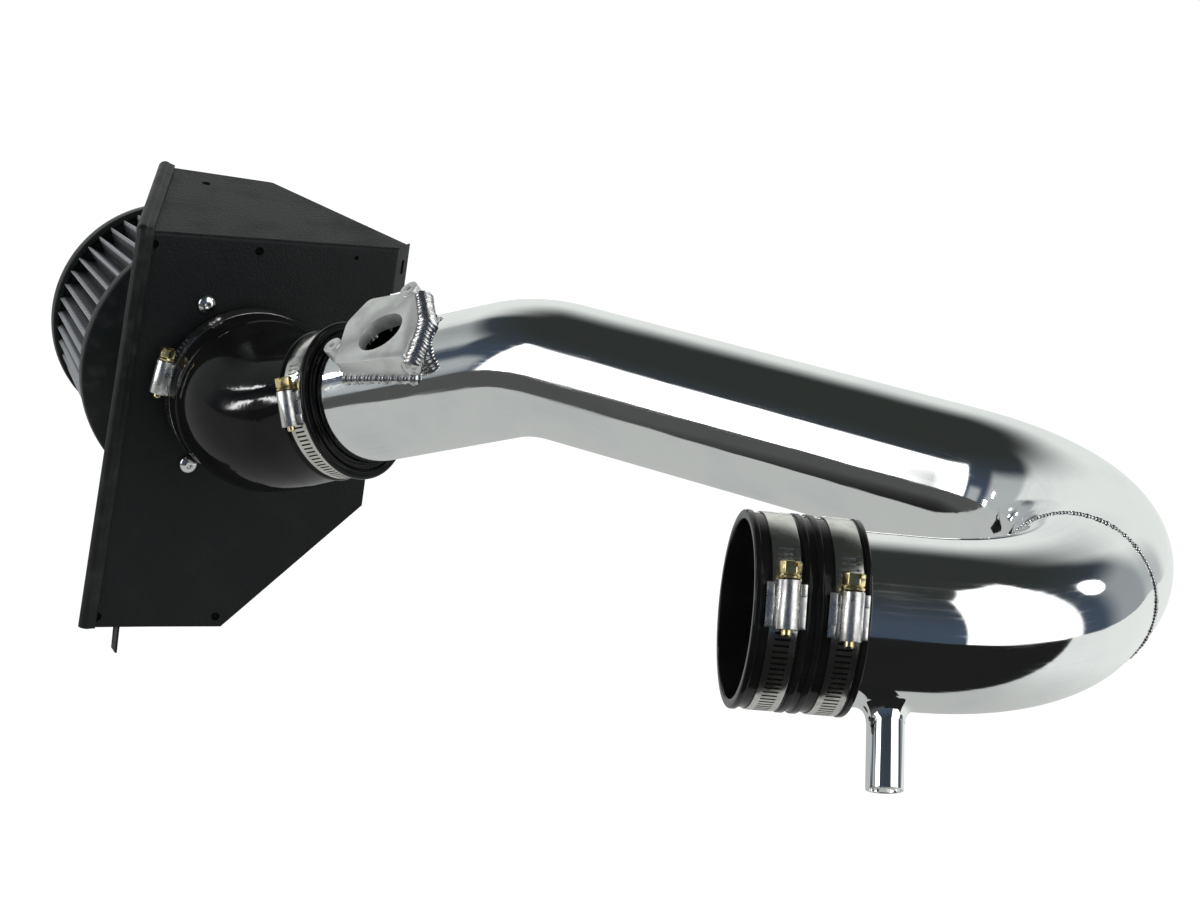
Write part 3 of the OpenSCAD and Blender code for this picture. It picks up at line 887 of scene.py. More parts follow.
def path_mesh(name: str, spots: list[Vector], closed: bool = False) -> bpy.types.Mesh:
    """A mesh of edges through points.

    Args:
        name: The mesh's name.
        spots: The points in order.
        closed: Whether the last point joins the first.

    Returns:
        The mesh.
    """
    edges = [(i, i + 1) for i in range(len(spots) - 1)] + ([(len(spots) - 1, 0)] if closed else [])
    mesh = bpy.data.meshes.new(name)
    mesh.from_pydata([tuple(s) for s in spots], edges, [])
    return mesh


def taken(piece: Piece) -> bpy.types.Mesh:
    """The object's mesh, with the object removed.

    Args:
        piece: The object.

    Returns:
        Its mesh.
    """
    mesh = piece.data
    bpy.data.objects.remove(piece)
    return mesh


def settled(piece: Piece, sharp: float = 35.0) -> Piece:
    """The object with its modifiers turned into a plain mesh.

    Args:
        piece: The object.
        sharp: Edges past this angle in degrees stay sharp.

    Returns:
        The same object.
    """
    seen = piece.evaluated_get(bpy.context.evaluated_depsgraph_get())
    mesh = bpy.data.meshes.new_from_object(seen)
    piece.modifiers.clear()
    piece.data = mesh
    return shaded(piece, sharp)


def combined(piece: Piece, others: list[Piece], how: Join) -> Piece:
    """Adds others to a piece or cuts them out of it, and removes them.

    Args:
        piece: The piece that is kept.
        others: The pieces that are added or cut away.
        how: Whether they are added or cut away.

    Returns:
        The same piece.
    """
    for other in others:
        cut = piece.modifiers.new("combine", "BOOLEAN")
        cut.operation, cut.object, cut.solver = how.value, other, "EXACT"
    settled(piece)
    for other in others:
        bpy.data.objects.remove(other)
    return piece


def bevelled(piece: Piece, width: float, angle: float = 40.0) -> Piece:
    """Rounds a piece's sharp edges.

    Args:
        piece: The piece.
        width: The bevel's width in metres.
        angle: Edges past this angle in degrees are rounded.

    Returns:
        The same piece.
    """
    round_off = piece.modifiers.new("bevel", "BEVEL")
    round_off.width, round_off.segments = width, 2
    round_off.limit_method, round_off.angle_limit = "ANGLE", math.radians(angle)
    return settled(piece, 50.0)


def joined(name: str, pieces: list[Piece]) -> Piece:
    """Several pieces as one object.

    Args:
        name: The new object's name.
        pieces: The pieces, which are removed.

    Returns:
        The linked object.
    """
    work = bmesh.new()
    for piece in pieces:
        work.from_mesh(piece.data)
        bpy.data.objects.remove(piece)
    mesh = bpy.data.meshes.new(name)
    work.to_mesh(mesh)
    work.free()
    return shaded(linked(bpy.data.objects.new(name, mesh)))


def faced(piece: Piece, outward: Vector) -> None:
    """Turns an open sheet round where its largest face looks away from a direction.

    Args:
        piece: The sheet.
        outward: The direction that the face is to look in.
    """
    work = bmesh.new()
    work.from_mesh(piece.data)
    if max(work.faces, key=lambda f: f.calc_area()).normal.dot(outward) < 0:
        bmesh.ops.reverse_faces(work, faces=work.faces)
    work.to_mesh(piece.data)
    work.free()


def dress(piece: Piece, finish: Finish, *nodes: str) -> Piece:
    """Gives a piece its material, body and the nodes that it stands for.

    Args:
        piece: The piece.
        finish: Its finish.
        *nodes: The CAD nodes that it replaces.

    Returns:
        The same piece.
    """
    piece.data.materials.clear()
    piece.data.materials.append(finish.material())
    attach(piece, BODY)
    if nodes:
        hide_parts(*nodes)
    LOG.info("%s: %d faces", piece.name, len(piece.data.polygons))
    return piece


# Geometry node rules


Plug = bpy.types.NodeSocket


class Rule:
    """A Geometry Nodes tree with named sizes, whose result becomes a plain mesh."""

    def __init__(self, name: str, sizes: dict[str, float | int]) -> None:
        """Makes the group with a Geometry input and one input for each size.

        Args:
            name: The tree's name.
            sizes: Each input's name and default.
        """
        self.tree = bpy.data.node_groups.new(name, "GeometryNodeTree")
        self.tree.interface.new_socket("Geometry", in_out="INPUT", socket_type="NodeSocketGeometry")
        self.sockets: dict[str, str] = {}
        for label, value in sizes.items():
            kind = "NodeSocketInt" if isinstance(value, int) else "NodeSocketFloat"
            made = self.tree.interface.new_socket(label, in_out="INPUT", socket_type=kind)
            made.default_value = value
            self.sockets[label] = made.identifier
        self.tree.interface.new_socket("Geometry", in_out="OUTPUT", socket_type="NodeSocketGeometry")
        self.start = self.tree.nodes.new("NodeGroupInput")
        self.end = self.tree.nodes.new("NodeGroupOutput")

    @property
    def base(self) -> Plug:
        """The mesh that goes into the tree."""
        return self.start.outputs[0]

    def size(self, label: str) -> Plug:
        """A named input's socket."""
        return self.start.outputs[label]

    def node(self, kind: str, settings: dict, values: dict, output: int | str = 0) -> Plug:
        """Adds a node.

        Args:
            kind: The node's type.
            settings: Properties that are set first.
            values: Input sockets by name or index, each with a value or a socket.
            output: The output that is wanted.

        Returns:
            That output.
        """
        made = self.tree.nodes.new(kind)
        for key, value in settings.items():
            setattr(made, key, value)
        for key, value in values.items():
            if isinstance(value, Plug):
                self.tree.links.new(value, made.inputs[key])
            else:
                made.inputs[key].default_value = value
        return made.outputs[output]

    def math(self, operation: str, first: "Plug | float", second: "Plug | float" = 0.0) -> Plug:
        """A Math node."""
        return self.node("ShaderNodeMath", {"operation": operation}, {0: first, 1: second})

    def vector(self, x: "Plug | float", y: "Plug | float", z: "Plug | float") -> Plug:
        """A vector of three values."""
        return self.node("ShaderNodeCombineXYZ", {}, {0: x, 1: y, 2: z})

    def points(self, count: Plug) -> Plug:
        """A number of points in one place."""
        return self.node("GeometryNodeMeshLine", {}, {"Count": count, "Offset": (0, 0, 0)})

    def real(self, geometry: Plug) -> Plug:
        """Instances made real."""
        return self.node("GeometryNodeRealizeInstances", {}, {"Geometry": geometry})

    def ends_in(self, geometry: Plug, material: bpy.types.Material) -> "Rule":
        """Finishes the tree with Realize Instances and Set Material.

        Args:
            geometry: What the tree has made.
            material: The material for all of it.

        Returns:
            The rule.
        """
        painted = {"Geometry": self.real(geometry), "Material": material}
        self.tree.links.new(self.node("GeometryNodeSetMaterial", {}, painted), self.end.inputs[0])
        return self

    def grow(
        self, name: str, base: bpy.types.Mesh, sizes: dict[str, float | int], sharp: float = 35.0
    ) -> Piece:
        """Runs the tree on a base mesh.

        Args:
            name: The piece's name.
            base: The mesh that goes into the tree.
            sizes: Values for the named inputs.
            sharp: Edges past this angle in degrees stay sharp.

        Returns:
            A plain mesh object without the modifier.
        """
        piece = linked(bpy.data.objects.new(name, base))
        grower = piece.modifiers.new("rule", "NODES")
        grower.node_group = self.tree
        for label, value in sizes.items():
            grower[self.sockets[label]] = value
        return settled(piece, sharp)


def ring_copies(material: bpy.types.Material) -> Rule:
    """Copies of the base mesh, spaced evenly round Z.

    Args:
        material: The copies' material.

    Returns:
        The rule, with Count copies whose points are merged within Weld.
    """
    rule = Rule("ring_copies", {"Count": 3, "Weld": 0.0})
    line = rule.points(rule.size("Count"))
    index = rule.node("GeometryNodeInputIndex", {}, {})
    angle = rule.math("MULTIPLY", index, rule.math("DIVIDE", TAU, rule.size("Count")))
    copies = rule.node(
        "GeometryNodeInstanceOnPoints", {},
        {"Points": line, "Instance": rule.base, "Rotation": rule.vector(0.0, 0.0, angle)},
    )
    whole = {"Geometry": rule.real(copies), "Distance": rule.size("Weld")}
    return rule.ends_in(rule.node("GeometryNodeMergeByDistance", {}, whole), material)


def slotted_band(material: bpy.types.Material) -> Rule:
    """A band with slots cut at even steps round Z.

    Args:
        material: The band's material.

    Returns:
        The rule, with the first slot at the angle Start and Step radians from each to the next.
    """
    sizes = {
        "Slots": 22, "Start": 0.0, "Step": 0.06, "Radius": 0.05, "Depth": 0.004, "Width": 0.0013,
        "Length": 0.0076,
    }
    rule = Rule("slotted_band", sizes)
    line = rule.points(rule.size("Slots"))
    index = rule.node("GeometryNodeInputIndex", {}, {})
    angle = rule.math("ADD", rule.math("MULTIPLY", index, rule.size("Step")), rule.size("Start"))
    place = rule.vector(
        rule.math("MULTIPLY", rule.math("COSINE", angle), rule.size("Radius")),
        rule.math("MULTIPLY", rule.math("SINE", angle), rule.size("Radius")), 0.0,
    )
    spots = rule.node("GeometryNodeSetPosition", {}, {"Geometry": line, "Position": place})
    block = rule.vector(rule.size("Depth"), rule.size("Width"), rule.size("Length"))
    cutter = rule.node("GeometryNodeMeshCube", {}, {"Size": block})
    copies = rule.node(
        "GeometryNodeInstanceOnPoints", {},
        {"Points": spots, "Instance": cutter, "Rotation": rule.vector(0.0, 0.0, angle)},
    )
    exact = {"operation": "DIFFERENCE", "solver": "EXACT"}
    cut = rule.node("GeometryNodeMeshBoolean", exact, {"Mesh 1": rule.base, "Mesh 2": rule.real(copies)})
    return rule.ends_in(cut, material)


def bead_row(material: bpy.types.Material) -> Rule:
    """Overlapping weld beads along the base mesh's edges.

    Args:
        material: The weld's material.

    Returns:
        The rule, with a bead every Pitch, stretched across and along the weld, and uneven by Spread.
    """
    sizes = {"Pitch": 0.0025, "Radius": 0.002, "Across": 1.0, "Along": 0.6, "Spread": 0.15, "Seed": 3}
    rule = Rule("bead_row", sizes)
    path = rule.node("GeometryNodeMeshToCurve", {}, {"Mesh": rule.base})
    pace = {"Curve": path, "Length": rule.size("Pitch")}
    spaced = rule.node("GeometryNodeResampleCurve", {"mode": "LENGTH"}, pace)
    tangent = rule.node("GeometryNodeInputTangent", {}, {})
    turn = rule.node("FunctionNodeAlignRotationToVector", {"axis": "Z"}, {"Vector": tangent})
    ball = {"Segments": 14, "Rings": 8, "Radius": rule.size("Radius")}
    bead = rule.node("GeometryNodeMeshUVSphere", {}, ball)
    low = rule.math("SUBTRACT", 1.0, rule.size("Spread"))
    high = rule.math("ADD", 1.0, rule.size("Spread"))
    spread = {2: low, 3: high, "Seed": rule.size("Seed")}
    size = rule.node("FunctionNodeRandomValue", {"data_type": "FLOAT"}, spread, 1)
    across = rule.math("MULTIPLY", size, rule.size("Across"))
    along = rule.math("MULTIPLY", size, rule.size("Along"))
    copies = rule.node(
        "GeometryNodeInstanceOnPoints", {},
        {"Points": spaced, "Instance": bead, "Rotation": turn, "Scale": rule.vector(across, across, along)},
    )
    return rule.ends_in(copies, material)


# Sub-assemblies


@dataclass
class IntakeTube:
    """The polished tube in two pieces, the seam between them and the vent nipple, in metres."""

    outer: float = 44.45 * MM
    inner: float = 42.45 * MM
    grip: float = 28 * MM
    sides: int = 160
    step: float = 1.5
    pace: float = 5 * MM
    sensor_pos: float = 58 * MM
    sensor_roll: float = 156.0
    sensor_r: float = 17 * MM
    nipple_x: float = 78 * MM
    nipple_roll: float = -33.0
    nipple_r: float = 9.525 * MM
    nipple_wall: float = 1.6 * MM
    nipple_reach: float = 86 * MM
    nipple_edge: float = 0.5 * MM
    fillet: float = 6.4 * MM
    fillet_rise: float = 7.6 * MM
    fillet_sides: int = 120
    fillet_steps: int = 10
    fillet_skin: float = 0.25 * MM
    fillet_bite: float = 0.2 * MM
    fillet_sink: float = 0.6 * MM
    seam_spots: int = 240
    seam_stray: float = 0.5 * MM
    cutter_low: float = 0.4
    cutter_high: float = 1.5

    @property
    def nipple(self) -> Place:
        """The nipple's frame, with Z outward."""
        return ROUTE.mouth.forward(self.nipple_x).turned("Z", self.nipple_roll).turned("Y", 90)

    @property
    def sensor(self) -> Place:
        """The sensor flange's frame, with Z outward."""
        middle = ROUTE.elbow.forward(-self.sensor_pos)
        return middle.turned("Z", self.sensor_roll).turned("Y", 90)

    def along_bend(self, start: Place, turn: float, roll: float) -> list[Place]:
        """Places from the start of a bend to its end."""
        count = math.ceil(turn / self.step)
        return [start.bent(ROUTE.bend_r, turn * k / count, roll) for k in range(count + 1)]

    def along_run(self, start: Place, length: float) -> list[Place]:
        """Places along a straight run, without its last end."""
        count = max(2, round(length / self.pace))
        return [start.forward(length * k / count) for k in range(count)]

    def skin(self, name: str, places: list[Place]) -> Piece:
        """A tube wall through places, closed at both ends.

        The rings keep one direction along the tube without twisting, and a UV map holds the
        distance along the tube and around it in metres.

        Args:
            name: The object's name.
            places: Frames along the tube's middle.

        Returns:
            The linked object.
        """
        rings: list[list[Vector]] = []
        turns = [TAU * k / self.sides for k in range(self.sides)]
        run, runs = 0.0, []
        side = places[0].axis(1, 0, 0)
        for before, place in zip([places[0]] + places, places):
            along = place.axis(0, 0, 1)
            side = (side - along * side.dot(along)).normalized()
            across = along.cross(side)
            run += (place.at(0, 0, 0) - before.at(0, 0, 0)).length
            runs.append(run)
            rings.append([side * math.cos(a) + across * math.sin(a) for a in turns])
        middles = [place.at(0, 0, 0) for place in places]
        skin = [[m + way * self.outer for way in ring] for m, ring in zip(middles, rings)]
        skin += [[m + way * self.inner for way in ring] for m, ring in reversed(list(zip(middles, rings)))]
        piece = rings_piece(name, skin)
        layer = piece.data.uv_layers.new(name="UVMap")
        heights = runs + runs[::-1]
        for loop in piece.data.loops:
            ring_index, side_index = divmod(loop.vertex_index, self.sides)
            around = abs(2 * side_index / self.sides - 1) * math.pi * self.outer
            layer.data[loop.index].uv = (heights[ring_index], around)
        return piece

    def lower(self) -> Piece:
        """The piece from the coupler to the seam, with the vent's hole.

        Returns:
            The piece.
        """
        places = self.along_run(ROUTE.mouth.forward(ROUTE.tube_start), ROUTE.lower_len)
        places += self.along_bend(ROUTE.lower_bend, ROUTE.lower_turn, ROUTE.lower_roll) + [ROUTE.seam]
        bore = circle(self.nipple_r - self.nipple_wall)
        hole = prism("vent_hole", self.nipple, bore, 0, self.outer * self.cutter_high)
        return combined(self.skin("lower_tube_skin", places), [hole], Join.CUT)

    def upper(self) -> Piece:
        """The piece from the seam to the rubber elbow, with the sensor's hole.

        Returns:
            The piece.
        """
        places = [ROUTE.seam]
        places += self.along_bend(ROUTE.seam.forward(ROUTE.seam_len), ROUTE.upper_turn, ROUTE.upper_roll)
        places += self.along_run(ROUTE.long_leg, ROUTE.long_len)[1:]
        places += self.along_bend(ROUTE.long_leg.forward(ROUTE.long_len), ROUTE.inlet_turn, ROUTE.inlet_roll)
        places += self.along_run(ROUTE.inlet_leg, ROUTE.inlet_len)[1:]
        places += [ROUTE.elbow, ROUTE.elbow.forward(self.grip)]
        low, high = self.outer * self.cutter_low, self.outer * self.cutter_high
        hole = prism("sensor_hole", self.sensor, circle(self.sensor_r, 64), low, high)
        return combined(self.skin("upper_tube_skin", places), [hole], Join.CUT)

    def seam_bead(self) -> Piece:
        """A fine rippled bead round the seam.

        Returns:
            The piece.
        """
        spots = []
        for k in range(self.seam_spots):
            a = TAU * k / self.seam_spots
            stray = self.seam_stray * math.sin(5 * a) * math.sin(3 * a)
            spots.append(ROUTE.seam.at(self.outer * math.cos(a), self.outer * math.sin(a), stray))
        path = path_mesh("seam_path", spots, True)
        sizes = {
            "Pitch": 1.9 * MM, "Radius": 1.5 * MM, "Across": 0.75, "Along": 0.95, "Spread": 0.22, "Seed": 11}
        return bead_row(WeldBead().material()).grow("seam_bead", path, sizes, SMOOTH)

    def nipple_pipe(self) -> Piece:
        """The nipple, cut to the tube and broken at its open edge.

        Returns:
            The piece.
        """
        bore, reach, edge = self.nipple_r - self.nipple_wall, self.nipple_reach, self.nipple_edge
        corners = [(self.nipple_r, self.inner), (self.nipple_r, reach), (bore, reach), (bore, self.inner)]
        return lathe("nipple_pipe", self.nipple, outline(corners, [0, edge, edge, 0], 3), 96)

    def fillet_ring(self, reach: float, rise: float, ripple: float) -> list[Vector]:
        """One ring of the nipple's weld.

        Args:
            reach: Its distance from the nipple's axis.
            rise: Its height over the tube's skin.
            ripple: The share by which its radius wavers.

        Returns:
            The ring's points.
        """
        spots = []
        for k in range(self.fillet_sides):
            angle = TAU * k / self.fillet_sides
            wide = reach * (1 + ripple * math.sin(13 * angle) * math.sin(4 * angle))
            across = wide * math.sin(angle)
            height = math.sqrt(self.outer ** 2 - across ** 2) + rise
            spots.append(self.nipple.at(wide * math.cos(angle), across, height))
        return spots

    def nipple_fillet(self) -> Piece:
        """The flared weld that follows the tube's curve.

        Returns:
            The piece.
        """
        top, foot = self.nipple_r + self.fillet_skin, self.nipple_r + self.fillet
        bite, sink = self.nipple_r - self.fillet_bite, -self.fillet_sink
        rings = []
        for step in range(self.fillet_steps + 1):
            a = step / self.fillet_steps * math.pi / 2
            reach = foot - (foot - top) * math.sin(a)
            rings.append(self.fillet_ring(reach, self.fillet_rise * (1 - math.cos(a)), 0.03 * math.cos(a)))
        for reach, rise in ((bite, self.fillet_rise), (bite, sink), (foot + sink, sink)):
            rings.append(self.fillet_ring(reach, rise, 0))
        return rings_piece("nipple_fillet", rings, 60)

    def build(self) -> None:
        """Makes and dresses the tube's pieces."""
        dress(self.lower(), PolishedAluminium(), "lower_tube")
        dress(self.upper(), PolishedAluminium(), "upper_tube")
        dress(self.seam_bead(), WeldBead(), "seam_weld")
        dress(self.nipple_pipe(), PolishedAluminium(), "vent_nipple")
        dress(self.nipple_fillet(), PolishedAluminium(), "vent_weld")


@dataclass
class SensorFlange:
    """The thick plate for the air flow sensor and the welds that hold it."""

    tube: IntakeTube
    rise: float = 8 * MM
    corners: list[Point2] = field(
        default_factory=lambda: [(-29, -23), (34, -31), (30, 4), (12, 36), (-28, 38), (-38, 18)])
    corner_r: float = 4.0
    edge: float = 0.45 * MM
    ear_mid: Point2 = (-16.0, 17.0)
    ear_turn: float = 43.0
    ear_span: float = 63.0
    ear_r: float = 6.5
    ear_t: float = 9 * MM
    ear_hole_r: float = 2.0
    ear_rise: float = 1.2
    seat_gap: float = 0.05 * MM
    seat_len: float = 90 * MM
    over: float = 5 * MM
    paces: int = 20

    @property
    def top(self) -> float:
        """Height of the plate's face over the tube's axis."""
        return self.tube.outer + self.rise

    def ears(self) -> list[Point2]:
        """The two ear centres, in millimetres.

        Returns:
            Their places on the plate.
        """
        turn = math.radians(self.ear_turn)
        half, (x, y) = self.ear_span / 2, self.ear_mid
        return [(x + s * half * math.cos(turn), y + s * half * math.sin(turn)) for s in (-1, 1)]

    def plate(self) -> Piece:
        """The plate with its ears, bore and holes, seated on the tube.

        Returns:
            The piece.
        """
        place, over = self.tube.sensor, self.top + self.over
        rounded = outline(self.corners, [self.corner_r] * len(self.corners), 5)
        body = prism("sensor_plate", place, scaled(rounded), self.tube.outer * 0.5, self.top)
        adds, cuts = [], []
        for x, y in self.ears():
            spot = (x * MM, y * MM)
            low = self.top - self.ear_t
            ear = circle(self.ear_r * MM, 40, spot)
            adds.append(prism("ear", place, ear, low, self.top + self.ear_rise * MM))
            cuts.append(prism("ear_hole", place, circle(self.ear_hole_r * MM, 24, spot), low - MM, over))
        cuts.append(prism("bore", place, circle(self.tube.sensor_r, 96), 0, over))
        seat = circle(self.tube.outer + self.seat_gap, 160)
        cuts.append(prism("seat", place.turned("Y", 90), seat, -self.seat_len, self.seat_len))
        combined(body, adds, Join.ADD)
        combined(body, cuts, Join.CUT)
        return bevelled(body, self.edge, 50)

    def path(self, corners: list[Point2], out: float, depth: float) -> list[Vector]:
        """Points along the plate's side, or on the tube where that is higher.

        Args:
            corners: The plate's corners that the path passes, in millimetres.
            out: How far it lies outside them, in millimetres.
            depth: How far it lies below the plate's face, in metres.

        Returns:
            The path's points.
        """
        spots = []
        for (x0, y0), (x1, y1) in zip(corners, corners[1:]):
            for k in range(self.paces):
                x, y = x0 + (x1 - x0) * k / self.paces, y0 + (y1 - y0) * k / self.paces
                grow = 1 + out / math.hypot(x, y)
                x, y = x * grow * MM, y * grow * MM
                ground = math.sqrt(max(self.tube.outer ** 2 - y ** 2, 0))
                spots.append(self.tube.sensor.at(x, y, max(ground, self.top - depth)))
        return spots

    def welds(self) -> Piece:
        """Heavy stacked beads on two sides and a small one round the rest.

        Returns:
            The piece.
        """
        rule = bead_row(WeldBead().material())
        c = self.corners
        low, high = 30 * MM, 9 * MM
        rows = [
            ("lower", self.path([c[0], c[1]], 0.3, low),
             {"Pitch": 2.3 * MM, "Radius": 3.6 * MM, "Along": 0.6, "Spread": 0.28, "Seed": 5}),
            ("heavy", self.path([c[1], c[2], c[3]], 1.6, high),
             {"Pitch": 3.0 * MM, "Radius": 7.4 * MM, "Along": 0.34, "Spread": 0.08, "Seed": 8}),
            ("rest", self.path([c[3], c[4], c[5], c[0]], 0.3, low),
             {"Pitch": 2.0 * MM, "Radius": 2.8 * MM, "Along": 0.7, "Spread": 0.25, "Seed": 6}),
        ]
        beads = [rule.grow(n + "_weld", path_mesh(n, spots), sizes, SMOOTH) for n, spots, sizes in rows]
        return joined("flange_beads", beads)

    def build(self) -> None:
        """Makes and dresses the flange and its welds."""
        dress(self.plate(), MachinedFace(), "sensor_flange")
        dress(self.welds(), WeldBead(), "flange_weld")


@dataclass
class OutletCoupler:
    """The straight ribbed coupler on the outlet, in millimetres."""

    length: float = 58.0
    radius: float = 48.95
    bore: float = 44.5
    neck_bore: float = 45.25
    neck: float = 30.0
    rib: float = 1.2
    rib_w: float = 3.2
    rib_places: tuple[float, float] = (24.0, 30.8)

    def section(self) -> list[Point2]:
        """The wall's closed section, in metres.

        Returns:
            Its points.
        """
        r, lip, w, end = self.radius, self.radius + self.rib, self.rib_w, self.length
        points, radii = [(self.neck_bore, 0.0), (lip, 0.0), (lip, w), (r, w)], [1.0, 1.6, 1.2, 0.5]
        for z in self.rib_places:
            points += [(r, z), (lip, z), (lip, z + w), (r, z + w)]
            radii += [0.5, 1.2, 1.2, 0.5]
        points += [(r, end - w), (lip, end - w), (lip, end), (self.bore, end)]
        points += [(self.bore, self.neck), (self.neck_bore, self.neck)]
        radii += [0.5, 1.2, 1.6, 0.6, 0.0, 0.0]
        return scaled(outline(points, radii, 4))

    def build(self) -> None:
        """Makes and dresses the coupler."""
        dress(lathe("coupler_rubber", ROUTE.mouth, self.section(), 160), GlossRubber(), "outlet_coupler")


@dataclass
class WormClamp:
    """A worm-drive clamp: slotted band, pressed housing and hexagon screw, in millimetres.

    The frame's Z is the clamp's axis and its X points at the middle of the housing.
    """

    name: str
    place: Place
    seat: float
    side: Side
    wing: float = 10.0
    fit: float = 0.1
    band_w: float = 14.2
    band_t: float = 0.8
    edge: float = 0.3
    band_sides: int = 192
    tail_sides: int = 40
    tail_gap: float = 0.05
    pitch: float = 3.2
    slots: int = 22
    slot_w: float = 1.25
    slot_l: float = 7.8
    slot_depth: float = 6.0
    tail_slots: int = 6
    tail_rest: float = 1.2
    slot_margin: float = 1.5
    housing_l: float = 24.0
    housing_gap: float = 0.2
    dome_gap: float = 1.1
    dome_out: float = 2.0
    dome_foot: float = -0.6
    dome_steps: int = 20
    wing_rise: Point2 = (0.35, 1.25)
    wing_inset: float = 1.0
    wing_lap: float = 0.4
    lug_rise: Point2 = (1.0, 2.3)
    lug_ends: Point2 = (1.2, 7.2)
    lug_sides: Point2 = (3.6, 0.2)
    screw_r: float = 3.9
    screw_core: float = 3.0
    screw_rise: float = 1.6
    thread_pitch: float = 2.4
    head_af: float = 10.0
    head_h: float = 6.2
    head_turn: float = 20.0
    head_slot: float = 0.8

    @property
    def outer(self) -> float:
        """The band's outer radius in millimetres."""
        return self.seat + self.fit + self.band_t

    def strip(self, name: str, inner: float, start: float, turn: float, sides: int) -> bpy.types.Mesh:
        """A strip of band with broken edges, in the clamp's own frame.

        Args:
            name: The mesh's name.
            inner: Its inner radius.
            start: The angle in degrees at which it starts.
            turn: How far it goes round, in degrees.
            sides: Steps round the axis.

        Returns:
            The mesh, open at its ends only where it goes less than once round.
        """
        half = self.band_w / 2
        section = outline(rectangle((inner, -half), (inner + self.band_t, half)), [self.edge] * 4, 2)
        whole = abs(turn) >= 360
        rings = []
        for k in range(sides if whole else sides + 1):
            a = math.radians(start + turn * k / sides)
            rings.append([Vector((r * math.cos(a), r * math.sin(a), z)) * MM for r, z in section])
        return taken(rings_piece(name, rings, looped=whole))

    def band(self) -> Piece:
        """The slotted band with its free end over itself.

        Returns:
            The piece.
        """
        rule = slotted_band(BandSteel().material())
        s = self.side.value
        step = self.pitch / self.outer
        start = (self.housing_l / 2 + self.slot_margin) / self.outer
        sizes = {"Slots": self.slots, "Start": -s * start, "Step": -s * step, "Radius": self.outer * MM,
                 "Depth": self.slot_depth * MM, "Width": self.slot_w * MM, "Length": self.slot_l * MM}
        whole = self.strip("ring", self.seat + self.fit, 0, 360, self.band_sides)
        ring = rule.grow(self.name + "_ring", whole, sizes)
        reach = math.degrees((self.tail_slots + self.tail_rest) * step + start)
        sizes["Slots"], sizes["Start"], sizes["Step"] = self.tail_slots, s * start, s * step
        end = self.strip("tail", self.outer + self.tail_gap, 0, s * reach, self.tail_sides)
        tail = rule.grow(self.name + "_tail", end, sizes)
        both = joined(self.name + "_strip", [ring, tail])
        both.data.transform(self.place.matrix)
        return both

    def block(self, rise: list[float], along: list[float], across: list[float], edge: float) -> Piece:
        """A bevelled block, from and to: outward from the axis, along the screw and across the band."""
        base = scaled(rectangle((rise[0], along[0]), (rise[1], along[1])))
        return bevelled(prism("block", self.place, base, across[0] * MM, across[1] * MM), edge * MM)

    def dome(self, base: float) -> Piece:
        """The arch over the screw.

        Args:
            base: The radius on which the housing stands.

        Returns:
            The linked object.
        """
        half, lift = self.housing_l / 2, self.screw_r + self.screw_rise
        turns = [math.pi * k / self.dome_steps for k in range(self.dome_steps + 1)]
        arch: list[Point2] = []
        for s, r in ((1, self.screw_r + self.dome_out), (-1, self.screw_r + self.dome_gap)):
            curve = [(s * r * math.cos(a), lift + r * math.sin(a)) for a in turns]
            arch += [(s * r, self.dome_foot)] + curve + [(-s * r, self.dome_foot)]
        lying = Matrix(((0, 1, 0, 0), (0, 0, 1, 0), (1, 0, 0, 0), (0, 0, 0, 1)))
        stand = Place(self.place.matrix @ Matrix.Translation((base * MM, 0, 0)) @ lying)
        return bevelled(prism("dome", stand, scaled(arch), -half * MM, half * MM), self.edge * MM, 50)

    def housing(self) -> Piece:
        """The pressed housing: a dome over the screw, two wings and four folded lugs.

        Returns:
            The piece.
        """
        base, half = self.outer + self.housing_gap, self.housing_l / 2
        length = [-half + self.wing_inset, half - self.wing_inset]
        wing, lug = ([base + rise for rise in ends] for ends in (self.wing_rise, self.lug_rise))
        root = self.screw_r + self.dome_out - self.wing_lap
        parts = [self.dome(base)]
        for s in (-1, 1):
            across = sorted((s * root, s * self.wing))
            parts.append(self.block(wing, length, across, 0.25))
            for end in (-1, 1):
                along = sorted(end * (half - inset) for inset in self.lug_ends)
                across = sorted(s * (self.wing - inset) for inset in self.lug_sides)
                parts.append(self.block(lug, along, across, 0.5))
        return joined(self.name + "_shell", parts)

    def screw(self) -> Piece:
        """The screw with its collar, slotted hexagon head, thread and tip.

        Returns:
            The piece.
        """
        lift = self.outer + self.screw_r + self.screw_rise
        flip = Matrix.Rotation(-math.pi / 2 * self.side.value, 4, "X")
        axis = Place(self.place.matrix @ Matrix.Translation((lift * MM, 0, 0)) @ flip)
        half, top, core = self.housing_l / 2, self.housing_l / 2 + 1.2, self.screw_core
        section = [(2.0, -half - 3.2), (2.6, -half - 2.4), (2.6, -half)]
        turns = int(self.housing_l / self.thread_pitch)
        for k in range(turns):
            z = -half + 0.5 + k * (self.housing_l - 1) / turns
            section += [(core, z), (self.screw_r, z + 0.7), (self.screw_r, z + 1.2), (core, z + 1.9)]
        section += [(4.4, half - 0.1), (5.7, top - 0.3), (5.9, top + 0.5), (5.2, top + 1.5), (4.6, top + 2.0)]
        shank = lathe("shank", axis, scaled(section), 40, looped=False)
        turned, foot = axis.turned("Z", self.head_turn), top + 1.6
        hexagon = circle(self.head_af / math.sqrt(3) * MM, 6)
        head = bevelled(prism("head", turned, hexagon, foot * MM, (foot + self.head_h) * MM), 0.5 * MM)
        groove = scaled(rectangle((-9, -self.head_slot), (9, self.head_slot)))
        notch = prism("notch", turned, groove, (top + self.head_h - 1.2) * MM, 60 * MM)
        return joined(self.name + "_worm", [shank, combined(head, [notch], Join.CUT)])

